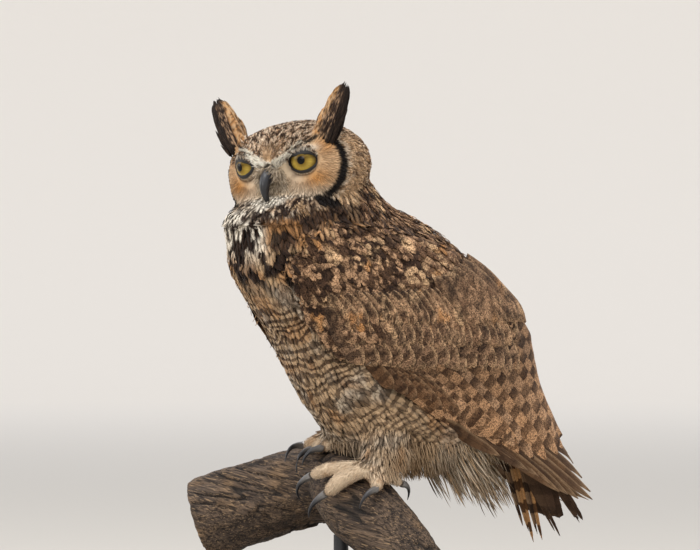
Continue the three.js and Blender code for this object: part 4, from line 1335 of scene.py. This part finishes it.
lidPlan = {  # opening round the gaze: angle from the outer corner and upwards, sine of the angle from the gaze
    "opening": ((0, 0.86), (25, 0.56), (50, 0.34), (90, 0.21), (125, 0.26), (155, 0.55), (177, 0.94), (198, 0.84),
                (225, 0.66), (270, 0.56), (310, 0.62), (338, 0.77)),
    "open": {"left": 0.95, "right": 0.76},
    "widest": 0.96, "around": 64, "rings": 8, "thick": 0.0011, "clear": 0.0004, "cover": 86}


def openingAt(angle, side):
    known = np.array(lidPlan["opening"])
    angles = np.concatenate([known[:, 0] - 360, known[:, 0], known[:, 0] + 360])
    sizes = np.tile(known[:, 1], 3)
    total = sum(np.interp((angle + shift) % 360, angles, sizes) for shift in (-12, -6, 0, 6, 12))
    return min(total / 5 * lidPlan["open"][side], lidPlan["widest"])


def makeLids(side):
    sign = 1 if side == "left" else -1
    lids = bmesh.new()
    radius = eyePlan["radius"] / 1000 + lidPlan["clear"]
    rings = []
    share = lids.verts.layers.float.new("rim")
    for ring in range(lidPlan["rings"] + 1):
        part = ring / lidPlan["rings"]
        loop = []
        for k in range(lidPlan["around"]):
            angle = k / lidPlan["around"] * 360
            opened = math.asin(openingAt(angle, side))
            polar = opened + (math.radians(lidPlan["cover"]) - opened) * part
            raised = radius + lidPlan["thick"] * (0.4 + 0.6 * math.sin(min(part * 2.2, 1) * math.pi / 2))
            a = math.radians(angle) * sign + (0 if sign > 0 else math.pi)
            v = lids.verts.new((raised * math.sin(polar) * math.cos(a), raised * math.sin(polar) * math.sin(a),
                                raised * math.cos(polar)))
            v[share] = part * (1 - 0.45 * max(0.0, math.sin(a * sign - (0 if sign > 0 else math.pi) * sign)))
            loop.append(v)
        rings.append(loop)
    for first, second in zip(rings, rings[1:]):
        for k in range(lidPlan["around"]):
            n = (k + 1) % lidPlan["around"]
            f = lids.faces.new((first[k], first[n], second[n], second[k]) if sign > 0
                               else (first[k], second[k], second[n], first[n]))
            f.smooth = True
    bmesh.ops.recalc_face_normals(lids, faces=lids.faces)
    if sum(f.normal.dot(f.calc_center_median()) for f in lids.faces) < 0:
        bmesh.ops.reverse_faces(lids, faces=lids.faces)
    bmesh.ops.solidify(lids, geom=lids.faces[:], thickness=lidPlan["thick"])
    # solidify leaves the faces in another order each run, and the lid feathers are laid on them
    lids.verts.index_update()
    lids.faces.sort(key=lambda f: f.verts[0].index * len(lids.verts) + f.verts[1].index)
    lids.transform(gazeFrame(side))
    piece = linkMesh(f"lids_{side}", meshFrom(lids, f"lids_{side}"))
    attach(piece, "root")
    return piece


print("eyes and lids")
eyes = [makeEye(s) for s in sides]
lids = [makeLids(s) for s in sides]


def featherLids(side, seed):
    # very short feathers on the lid outside its bare rim
    rng = np.random.default_rng(seed)
    sign = 1 if side == "left" else -1
    count = int(1500 / coarse)
    frameNow = np.array(gazeFrame(side))
    angle = rng.uniform(0, 360, count)
    opened = np.arcsin([openingAt(a, side) for a in angle])
    polar = opened + (math.radians(lidPlan["cover"] + 2) - opened) * rng.uniform(0.16, 1.02, count)
    a = np.radians(angle) * sign + (0 if sign > 0 else math.pi)
    ray = np.stack([np.sin(polar) * np.cos(a), np.sin(polar) * np.sin(a), np.cos(polar)], 1)
    aim = np.stack([np.cos(polar) * np.cos(a), np.cos(polar) * np.sin(a), -np.sin(polar)], 1)
    ray, aim = ray @ frameNow[:3, :3].T, aim @ frameNow[:3, :3].T
    radius = eyePlan["radius"] / 1000 + 0.0016
    roots = ray * radius + frameNow[:3, 3]
    places, _, corners3 = arraysOf(bpy.data.objects[f"lids_{side}"].data)
    uv = triUv[[skinTree.find_nearest(p)[2] for p in roots.tolist()]].mean(1)
    plan = {"rows": 3, "stray": 0.15, "vary": 0.08, "smear": 0.3, "rise": 0.5, "sunk": 0.0006,
            "shade": (0.85, 0.97, 1.03), "tree": treeOf(places, corners3)}
    piece = layFeathers(f"lid_feathers_{side}", roots, ray, aim, np.full(count, 0.0042), np.full(count, 0.0004),
                        np.full(count, 0.0006), uv, np.full(count, kinds.index("head")), plan, seed)
    coatPieces.append(piece)


for number, s in enumerate(sides):
    featherLids(s, 160 + number)


# bill and claws: the solids' own shapes, merged and rounded

def roundedSolid(name, nodeNames):
    piece = copyOf(name, nodeNames)
    for p in piece.data.polygons:
        p.use_smooth = True
    smooth = piece.modifiers.new("round", "SUBSURF")
    smooth.levels = smooth.render_levels = 2
    applied(piece)
    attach(piece, "root")
    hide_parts(*nodeNames)
    return piece


def tagAlong(piece, start, reach):
    # how far each point is from the root, from 0 to 1
    places, _, _ = arraysOf(piece.data)
    storeValue(piece.data, "along", np.clip(np.linalg.norm(places - np.array(start), axis=1) / reach, 0, 1))


print("bill and claws")
bill = roundedSolid("bill", ["bill_upper"])
billLow = roundedSolid("bill_below", ["bill_lower"])
for piece in (bill, billLow):
    tagAlong(piece, headPlace @ Vector((0, -0.040, 0.004)), 0.045)
claws = []
for s in sides:
    for t in toes:
        claw = roundedSolid(f"claw_{s}_{t}_smooth", [f"claw_{s}_{t}"])
        toePoints, _, toeCorners = arraysOf(nodes[f"toe_{s}_{t}"].data)
        toeTree = treeOf(toePoints, toeCorners)
        places, _, _ = arraysOf(claw.data)
        off = [toeTree.find_nearest(p)[3] for p in places.tolist()]
        tagAlong(claw, places[np.argmin(off)], 0.022)
        claws.append(claw)


# perch: the branch, split along its grain

perchPlan = {"axis": (0.88, 0.43, -0.20), "voxel": 0.0022 * coarse, "soften": 8, "knots": 0.0012,
             "cracks": 0.0028, "sunk": 0.0006}
print("perch")
perch = copyOf("perch_wood", ["perch"])
closedOver(perch, perchPlan["voxel"], perchPlan["soften"])
places, outs, _ = arraysOf(perch.data)
axis = unit(np.array(perchPlan["axis"]))
run = places @ axis
stretched = places - axis * (run * 0.86)[:, None]
broad = roughGrain(stretched, 0.011, 71) - 0.5
fine = roughGrain(stretched, 0.0045, 72) - 0.5
crack = ease(0.10, 0.0, np.abs(grain(stretched, 0.009, 73) - 0.5)) * ease(0.4, 0.65, grain(places, 0.04, 74))
push = broad * perchPlan["knots"] * 2.2 + fine * perchPlan["knots"] * 1.2 - crack * perchPlan["cracks"]
perch.data.vertices.foreach_set("co", (places + outs * (push - perchPlan["sunk"])[:, None]).ravel())
storeValue(perch.data, "crack", crack)
perch.data.polygons.foreach_set("use_smooth", [True] * len(perch.data.polygons))
perch.data.update()
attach(perch, "root")
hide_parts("perch")


# stand: a turned base and a rod

def turned(name, profile, centre, node):
    lathe = spun(profile)
    bmesh.ops.remove_doubles(lathe, verts=lathe.verts, dist=1e-6)
    bmesh.ops.recalc_face_normals(lathe, faces=lathe.faces)
    lathe.transform(Matrix.Translation(centre))
    mesh = meshFrom(lathe, name)
    mesh.set_sharp_from_angle(angle=math.radians(40))
    piece = linkMesh(name, mesh)
    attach(piece, "root")
    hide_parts(node)
    return piece


print("stand")
low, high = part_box("stand_base")
radius = (high.x - low.x) / 2
edge = 0.004
bevel = [(radius - edge + edge * math.sin(a), high.z - edge + edge * math.cos(a))
         for a in np.linspace(0, math.pi / 2, 7)]
standBase = turned("stand_base_disc", [(0, low.z), (radius - 0.001, low.z), (radius, low.z + 0.001)] + bevel[::-1]
                   + [(0, high.z)], ((low.x + high.x) / 2, (low.y + high.y) / 2, 0), "stand_base")
low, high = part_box("stand_rod")
radius = (high.x - low.x) / 2
standRod = turned("stand_rod_round", [(0, low.z), (radius, low.z), (radius, high.z), (0, high.z)],
                  ((low.x + high.x) / 2, (low.y + high.y) / 2, 0), "stand_rod")


def isBigFeather(piece):
    return piece.name.startswith("tail") or piece.name.split("_")[0] in wingPlan


for piece in coatPieces:
    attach(piece, "root")
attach(skin, "root")
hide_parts(*fleshNodes)
for piece in coatPieces:
    if isBigFeather(piece):
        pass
    elif piece.name == "coat_legs":
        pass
    else:
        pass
for s in sides:
    for part in ("primaries", "secondaries"):
        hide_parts(f"wing_{s}_{part}")
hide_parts("tail")
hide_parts("tail_loose_feather")


# materials

print("materials")


def addNode(tree, kind, place=(0, 0), **settings):
    node = tree.nodes.new(kind)
    node.location = place
    for key, value in settings.items():
        setattr(node, key, value)
    return node


def setInputs(node, values):
    for key, value in values.items():
        node.inputs[key].default_value = value


def sums(tree, operation, first, second=None, clamp=False):
    node = addNode(tree, "ShaderNodeMath", operation=operation, use_clamp=clamp)
    for index, value in enumerate((first, second)):
        if value is None:
            continue
        if isinstance(value, (int, float)):
            node.inputs[index].default_value = value
        else:
            tree.links.new(value, node.inputs[index])
    return node.outputs[0]


def ranged(tree, value, low, high, toLow=0.0, toHigh=1.0):
    node = addNode(tree, "ShaderNodeMapRange", interpolation_type="SMOOTHSTEP")
    setInputs(node, {"From Min": low, "From Max": high, "To Min": toLow, "To Max": toHigh})
    tree.links.new(value, node.inputs["Value"])
    return node.outputs["Result"]


def mixed(tree, share, first, second, blend="MIX"):
    node = addNode(tree, "ShaderNodeMix", data_type="RGBA", blend_type=blend)
    for socket, value in ((node.inputs[0], share), (node.inputs[6], first), (node.inputs[7], second)):
        if isinstance(value, (int, float)):
            socket.default_value = value
        elif isinstance(value, (tuple, list, np.ndarray)):
            socket.default_value = (*[float(v) for v in value][:3], 1)
        else:
            tree.links.new(value, socket)
    return node.outputs[2]


def timesHue(tree, colour, factor):
    return mixed(tree, 1.0, colour, factor, "MULTIPLY")


def noise(tree, vector, scale, detail=2.0, roughness=0.5, distortion=0.0):
    node = addNode(tree, "ShaderNodeTexNoise")
    setInputs(node, {"Scale": scale, "Detail": detail, "Roughness": roughness, "Distortion": distortion})
    tree.links.new(vector, node.inputs["Vector"])
    return node.outputs["Fac"]


def groupWith(name, inputs, outputs):
    group = bpy.data.node_groups.new(name, "ShaderNodeTree")
    for label, kind in inputs:
        group.interface.new_socket(label, in_out="INPUT", socket_type=kind)
    for label, kind in outputs:
        group.interface.new_socket(label, in_out="OUTPUT", socket_type=kind)
    return group, addNode(group, "NodeGroupInput").outputs, addNode(group, "NodeGroupOutput").inputs


def makeMarkingGroup():
    # bars and flecks, from the attributes that skin and coat share
    group, given, result = groupWith(
        "plumage marking",
        [("Tint", "NodeSocketColor"), ("Marks", "NodeSocketVector"), ("Place", "NodeSocketVector"),
         ("Bar Shade", "NodeSocketColor"), ("Fleck Size", "NodeSocketFloat"), ("Wobble", "NodeSocketFloat")],
        [("Colour", "NodeSocketColor"), ("Height", "NodeSocketFloat")])
    parts = addNode(group, "ShaderNodeSeparateXYZ")
    group.links.new(given["Marks"], parts.inputs[0])
    wobble = sums(group, "SUBTRACT", noise(group, given["Place"], 420, 2.0), 0.5)
    phase = sums(group, "ADD", parts.outputs[0], sums(group, "MULTIPLY", wobble, given["Wobble"]))
    wave = sums(group, "SINE", sums(group, "MULTIPLY", phase, 2 * math.pi))
    bars = sums(group, "MULTIPLY", ranged(group, wave, -0.05, 0.35), parts.outputs[1])
    colour = mixed(group, bars, given["Tint"], timesHue(group, given["Tint"], given["Bar Shade"]))
    scaled = addNode(group, "ShaderNodeVectorMath", operation="SCALE")
    group.links.new(given["Place"], scaled.inputs[0])
    group.links.new(given["Fleck Size"], scaled.inputs["Scale"])
    worm = ranged(group, noise(group, scaled.outputs[0], 1.0, 2.0, 0.6, 2.2), 0.47, 0.53)
    flecks = sums(group, "MULTIPLY", worm, parts.outputs[2])
    lit = mixed(group, parts.outputs[2], colour, timesHue(group, colour, (1.62, 1.56, 1.50)))
    colour = mixed(group, sums(group, "MULTIPLY", flecks, 0.9), lit,
                   timesHue(group, colour, (0.28, 0.255, 0.245)))
    group.links.new(colour, result["Colour"])
    group.links.new(flecks, result["Height"])
    return group


def makeBarbGroup():
    # fine barbs slanting off the quill, in millimetres of the vane's own map
    group, given, result = groupWith(
        "feather barbs",
        [("Vane", "NodeSocketVector"), ("Colour", "NodeSocketColor"), ("Fineness", "NodeSocketFloat"),
         ("Depth", "NodeSocketFloat"), ("Quill", "NodeSocketFloat")],
        [("Colour", "NodeSocketColor"), ("Height", "NodeSocketFloat")])
    parts = addNode(group, "ShaderNodeSeparateXYZ")
    group.links.new(given["Vane"], parts.inputs[0])
    off = sums(group, "ABSOLUTE", parts.outputs[0])
    slant = sums(group, "SUBTRACT", parts.outputs[1], sums(group, "MULTIPLY", off, 1.2))
    joined = addNode(group, "ShaderNodeCombineXYZ")
    group.links.new(sums(group, "MULTIPLY", slant, given["Fineness"]), joined.inputs[0])
    group.links.new(sums(group, "MULTIPLY", parts.outputs[0], 0.22), joined.inputs[1])
    barbs = noise(group, joined.outputs[0], 1.0, 3.0, 0.65)
    shade = ranged(group, barbs, 0.3, 0.7)
    dark = timesHue(group, given["Colour"], (0.62, 0.59, 0.57))
    colour = mixed(group, sums(group, "MULTIPLY", sums(group, "SUBTRACT", 1.0, shade), given["Depth"]),
                   given["Colour"], dark)
    quill = sums(group, "MULTIPLY", ranged(group, off, 0.5, 0.1), given["Quill"])
    colour = mixed(group, quill, colour, timesHue(group, colour, (0.45, 0.40, 0.36)))
    group.links.new(colour, result["Colour"])
    group.links.new(sums(group, "ADD", shade, quill), result["Height"])
    return group


markingGroup = makeMarkingGroup()
barbGroup = makeBarbGroup()


def newMaterial(name):
    material = bpy.data.materials.new(name)
    material.use_nodes = True
    tree = material.node_tree
    shader = tree.nodes["Principled BSDF"]
    return material, tree, shader


def place(tree):
    return addNode(tree, "ShaderNodeTexCoord").outputs["Object"]


def bumpTo(tree, shader, height, strength, distance):
    bump = addNode(tree, "ShaderNodeBump")
    setInputs(bump, {"Strength": strength, "Distance": distance})
    tree.links.new(height, bump.inputs["Height"])
    tree.links.new(bump.outputs[0], shader.inputs["Normal"])


def plumage(name, look):
    material, tree, shader = newMaterial(name)
    setInputs(shader, {"Roughness": look["roughness"], "Sheen Weight": look["sheen"], "Sheen Roughness": 0.45,
                       "Specular IOR Level": 0.15})
    tint = addNode(tree, "ShaderNodeAttribute", attribute_name="tint")
    marks = addNode(tree, "ShaderNodeAttribute", attribute_name="marks")
    marking = addNode(tree, "ShaderNodeGroup", node_tree=markingGroup)
    tree.links.new(tint.outputs["Color"], marking.inputs["Tint"])
    tree.links.new(marks.outputs["Vector"], marking.inputs["Marks"])
    tree.links.new(place(tree), marking.inputs["Place"])
    setInputs(marking, {"Bar Shade": look["barShade"], "Fleck Size": look["fleckSize"], "Wobble": look["wobble"]})
    colour, height = marking.outputs["Colour"], marking.outputs["Height"]
    if look["barbs"]:
        vane = addNode(tree, "ShaderNodeUVMap", uv_map="vane")
        barbs = addNode(tree, "ShaderNodeGroup", node_tree=barbGroup)
        tree.links.new(vane.outputs[0], barbs.inputs["Vane"])
        tree.links.new(colour, barbs.inputs["Colour"])
        setInputs(barbs, {"Fineness": look["barbs"], "Depth": look["barbDepth"], "Quill": look["quill"]})
        colour, height = barbs.outputs["Colour"], barbs.outputs["Height"]
    tree.links.new(colour, shader.inputs["Base Color"])
    bumpTo(tree, shader, height, look["bump"], 0.0004)
    return material


barShade = (0.17, 0.14, 0.125, 1)
softPlumage = plumage("soft plumage", {"roughness": 0.85, "sheen": 0.04, "barShade": barShade, "fleckSize": 420.0,
                                       "wobble": 0.3, "barbs": 1.5, "barbDepth": 0.55, "quill": 0.0, "bump": 0.5})
vanePlumage = plumage("vane plumage", {"roughness": 0.7, "sheen": 0.03, "barShade": barShade, "fleckSize": 360.0,
                                       "wobble": 0.26, "barbs": 1.3, "barbDepth": 0.6, "quill": 0.6, "bump": 0.6})
underDown = plumage("under down", {"roughness": 0.9, "sheen": 0.04, "barShade": barShade, "fleckSize": 420.0,
                                   "wobble": 0.3, "barbs": 0, "barbDepth": 0, "quill": 0, "bump": 0.3})


def makeEyeMaterial():
    material, tree, shader = newMaterial("eye")
    setInputs(shader, {"Roughness": 0.25, "Specular IOR Level": 0.12, "Coat Weight": 0.35, "Coat Roughness": 0.02,
                       "Coat IOR": 1.33})
    gaze = addNode(tree, "ShaderNodeUVMap", uv_map="gaze").outputs[0]
    middle = addNode(tree, "ShaderNodeVectorMath", operation="SUBTRACT")
    tree.links.new(gaze, middle.inputs[0])
    middle.inputs[1].default_value = (0.5, 0.5, 0)
    length = addNode(tree, "ShaderNodeVectorMath", operation="LENGTH")
    tree.links.new(middle.outputs[0], length.inputs[0])
    heading = addNode(tree, "ShaderNodeVectorMath", operation="NORMALIZE")
    tree.links.new(middle.outputs[0], heading.inputs[0])
    reach = length.outputs["Value"]
    streaks = noise(tree, heading.outputs[0], 9.0, 4.0, 0.7)
    ramp = addNode(tree, "ShaderNodeValToRGB")
    scale = eyePlan["radius"] / 0.25
    stops = [(0.0, "pupil"), (eyePlan["pupil"] / scale - 0.002, "pupil"), (eyePlan["pupil"] / scale + 0.004, "amber"),
             (0.110, "iris"), (0.132, "iris"), (eyePlan["iris"] / scale - 0.004, "olive"),
             (eyePlan["iris"] / scale + 0.004, "pupil")]
    eyeHues = {"pupil": (4, 4, 4), "amber": (126, 100, 36), "iris": (182, 154, 70), "olive": (88, 70, 30)}
    ramp.color_ramp.elements[0].position = 0
    ramp.color_ramp.elements[0].color = (*tone(*eyeHues["pupil"]), 1)
    ramp.color_ramp.elements[1].position = 1
    ramp.color_ramp.elements[1].color = (*tone(*eyeHues["pupil"]), 1)
    for at, key in stops[1:]:
        stop = ramp.color_ramp.elements.new(min(at * 4, 1))
        stop.color = (*tone(*eyeHues[key]), 1)
    tree.links.new(sums(tree, "MULTIPLY", reach, 4.0, True), ramp.inputs[0])
    colour = mixed(tree, ranged(tree, streaks, 0.35, 0.65, 0.0, 0.5), ramp.outputs[0],
                   timesHue(tree, ramp.outputs[0], (0.55, 0.5, 0.3)))
    # painted shade: the top of the iris is darkened for the shadow of the upper lid and brow
    parts = addNode(tree, "ShaderNodeSeparateXYZ")
    tree.links.new(gaze, parts.inputs[0])
    colour = mixed(tree, ranged(tree, parts.outputs[1], 0.47, 0.535, 0.0, 0.8), colour,
                   timesHue(tree, colour, (0.30, 0.27, 0.2)))
    tree.links.new(colour, shader.inputs["Base Color"])
    return material


def makeLidMaterial():
    material, tree, shader = newMaterial("lids")
    setInputs(shader, {"Roughness": 0.6})
    rim = addNode(tree, "ShaderNodeAttribute", attribute_name="rim").outputs["Fac"]
    fine = noise(tree, place(tree), 1500, 3.0, 0.6)
    edge = ranged(tree, sums(tree, "ADD", rim, sums(tree, "MULTIPLY", sums(tree, "SUBTRACT", fine, 0.5), 0.12)),
                  0.17, 0.28)
    colour = mixed(tree, edge, hues["black"] * 0.6, mixed(tree, ranged(tree, fine, 0.35, 0.65), hues["greyBrown"],
                                                       hues["lore"]))
    tree.links.new(colour, shader.inputs["Base Color"])
    bumpTo(tree, shader, fine, 0.4, 0.0004)
    return material


def makeHornMaterial(name, base, tipTone, roughness):
    material, tree, shader = newMaterial(name)
    setInputs(shader, {"Coat Weight": 0.25, "Coat Roughness": 0.3})
    along = addNode(tree, "ShaderNodeAttribute", attribute_name="along").outputs["Fac"]
    streaks = noise(tree, place(tree), 700, 3.0, 0.6)
    colour = mixed(tree, ranged(tree, along, 0.05, 0.75), base, tipTone)
    colour = mixed(tree, ranged(tree, streaks, 0.4, 0.7, 0.0, 0.35), colour,
                   timesHue(tree, colour, (1.5, 1.5, 1.5)))
    tree.links.new(colour, shader.inputs["Base Color"])
    tree.links.new(ranged(tree, streaks, 0.3, 0.7, roughness, roughness + 0.16), shader.inputs["Roughness"])
    bumpTo(tree, shader, streaks, 0.25, 0.0003)
    return material


def makeWoodMaterial():
    material, tree, shader = newMaterial("weathered wood")
    coords = place(tree)
    turnBy = Vector(perchPlan["axis"]).rotation_difference(Vector((1, 0, 0))).to_euler()
    lined = addNode(tree, "ShaderNodeMapping")
    setInputs(lined, {"Rotation": turnBy})
    tree.links.new(coords, lined.inputs[0])
    drawn = addNode(tree, "ShaderNodeMapping")
    setInputs(drawn, {"Scale": (0.09, 1.0, 1.0)})
    tree.links.new(lined.outputs[0], drawn.inputs[0])
    fibres = noise(tree, drawn.outputs[0], 520, 4.0, 0.65)
    bands = noise(tree, drawn.outputs[0], 110, 4.0, 0.6, 0.4)
    patches = noise(tree, coords, 26, 3.0, 0.55)
    colour = mixed(tree, ranged(tree, bands, 0.34, 0.66), tone(62, 50, 41), tone(112, 92, 74))
    colour = mixed(tree, ranged(tree, patches, 0.5, 0.72, 0.0, 0.6), colour, tone(126, 98, 68))
    colour = mixed(tree, ranged(tree, fibres, 0.56, 0.42, 0.0, 0.85), colour, tone(34, 27, 23))
    threads = noise(tree, drawn.outputs[0], 900, 2.0)
    colour = mixed(tree, ranged(tree, threads, 0.58, 0.68, 0.0, 0.6), colour, tone(170, 140, 106))
    # cracks nearly black: partly the split wood's own darker colour, partly painted shade inside them
    crack = addNode(tree, "ShaderNodeAttribute", attribute_name="crack").outputs["Fac"]
    colour = mixed(tree, ranged(tree, crack, 0.1, 0.8, 0.0, 0.85), colour, tone(24, 19, 16))
    tree.links.new(colour, shader.inputs["Base Color"])
    tree.links.new(ranged(tree, fibres, 0.3, 0.7, 0.95, 0.7), shader.inputs["Roughness"])
    height = sums(tree, "ADD", sums(tree, "ADD", fibres, sums(tree, "MULTIPLY", bands, 1.5)),
                  sums(tree, "MULTIPLY", threads, 0.4))
    bumpTo(tree, shader, height, 1.0, 0.0016)
    return material


def makeStandMaterial():
    material, tree, shader = newMaterial("stand paint")
    grainy = noise(tree, place(tree), 900, 2.0)
    tree.links.new(mixed(tree, ranged(tree, grainy, 0.3, 0.7), tone(34, 34, 36), tone(46, 46, 48)),
                   shader.inputs["Base Color"])
    tree.links.new(ranged(tree, grainy, 0.3, 0.7, 0.42, 0.55), shader.inputs["Roughness"])
    bumpTo(tree, shader, grainy, 0.15, 0.0002)
    return material


def dress(pieces, material):
    for piece in pieces:
        piece.data.materials.clear()
        piece.data.materials.append(material)


dress([piece for piece in coatPieces if isBigFeather(piece)], vanePlumage)
dress([piece for piece in coatPieces if not isBigFeather(piece)], softPlumage)
dress([skin], underDown)
dress(eyes, makeEyeMaterial())
dress(lids, makeLidMaterial())
dress([bill, billLow], makeHornMaterial("bill horn", tone(46, 46, 50), tone(24, 24, 27), 0.3))
dress(claws, makeHornMaterial("claw horn", tone(112, 108, 104), tone(34, 34, 38), 0.3))
dress([perch], makeWoodMaterial())
dress([standBase, standRod], makeStandMaterial())


# floor, backdrop and soft light

def makeStage():
    studio = {"floor": 10.5, "bend": 2.6, "height": 3.4, "shade": tone(249, 243, 234),
              "near": tone(191, 186, 178)}
    outline = [(0.001, 0), (studio["floor"], 0)]
    for a in np.linspace(0, math.pi / 2, 13)[1:]:
        outline.append((studio["floor"] + studio["bend"] * math.sin(a), studio["bend"] * (1 - math.cos(a))))
    outline.append((studio["floor"] + studio["bend"], studio["height"]))
    bowl = spun(outline)
    bmesh.ops.recalc_face_normals(bowl, faces=bowl.faces)
    if sum(f.normal.z * f.calc_area() for f in bowl.faces) < 0:
        bmesh.ops.reverse_faces(bowl, faces=bowl.faces)
    mesh = meshFrom(bowl, "studio_floor")
    floor = linkMesh("studio_floor", mesh)
    material, tree, shader = newMaterial("pale floor")
    setInputs(shader, {"Roughness": 0.9, "Specular IOR Level": 0.1})
    spot = addNode(tree, "ShaderNodeVectorMath", operation="LENGTH")
    tree.links.new(place(tree), spot.inputs[0])
    far = ranged(tree, spot.outputs["Value"], 0.8, 11.5)
    tree.links.new(mixed(tree, far, studio["near"], studio["shade"]), shader.inputs["Base Color"])
    mesh.materials.append(material)


lightPlan = {
    "overhead": {"place": (0.4, -0.6, 3.6), "size": 3.2, "power": 95, "hue": (1.0, 0.98, 0.95)},
    "front": {"place": (3.4, -3.6, 2.4), "size": 2.4, "power": 60, "hue": (1.0, 0.97, 0.93)},
    "side": {"place": (-2.2, -3.0, 1.6), "size": 2.2, "power": 28, "hue": (0.96, 0.98, 1.0)},
}


def makeLights():
    for name, plan in lightPlan.items():
        lamp = bpy.data.lights.new(name, "AREA")
        lamp.shape = "DISK"
        lamp.size = plan["size"]
        lamp.energy = plan["power"]
        lamp.color = plan["hue"]
        holder = bpy.data.objects.new(name, lamp)
        holder.location = plan["place"]
        holder.rotation_euler = (Vector(plan["place"]) - Vector((0, 0, 0.3))).to_track_quat("Z", "Y").to_euler()
        bpy.context.scene.collection.objects.link(holder)
    world = bpy.data.worlds.new("soft sky")
    world.use_nodes = True
    world.node_tree.nodes["Background"].inputs["Color"].default_value = (0.93, 0.95, 1.0, 1)
    world.node_tree.nodes["Background"].inputs["Strength"].default_value = 0.9
    bpy.context.scene.world = world


print("floor and lights")
makeStage()
makeLights()
bpy.context.scene.view_settings.view_transform = "Standard"
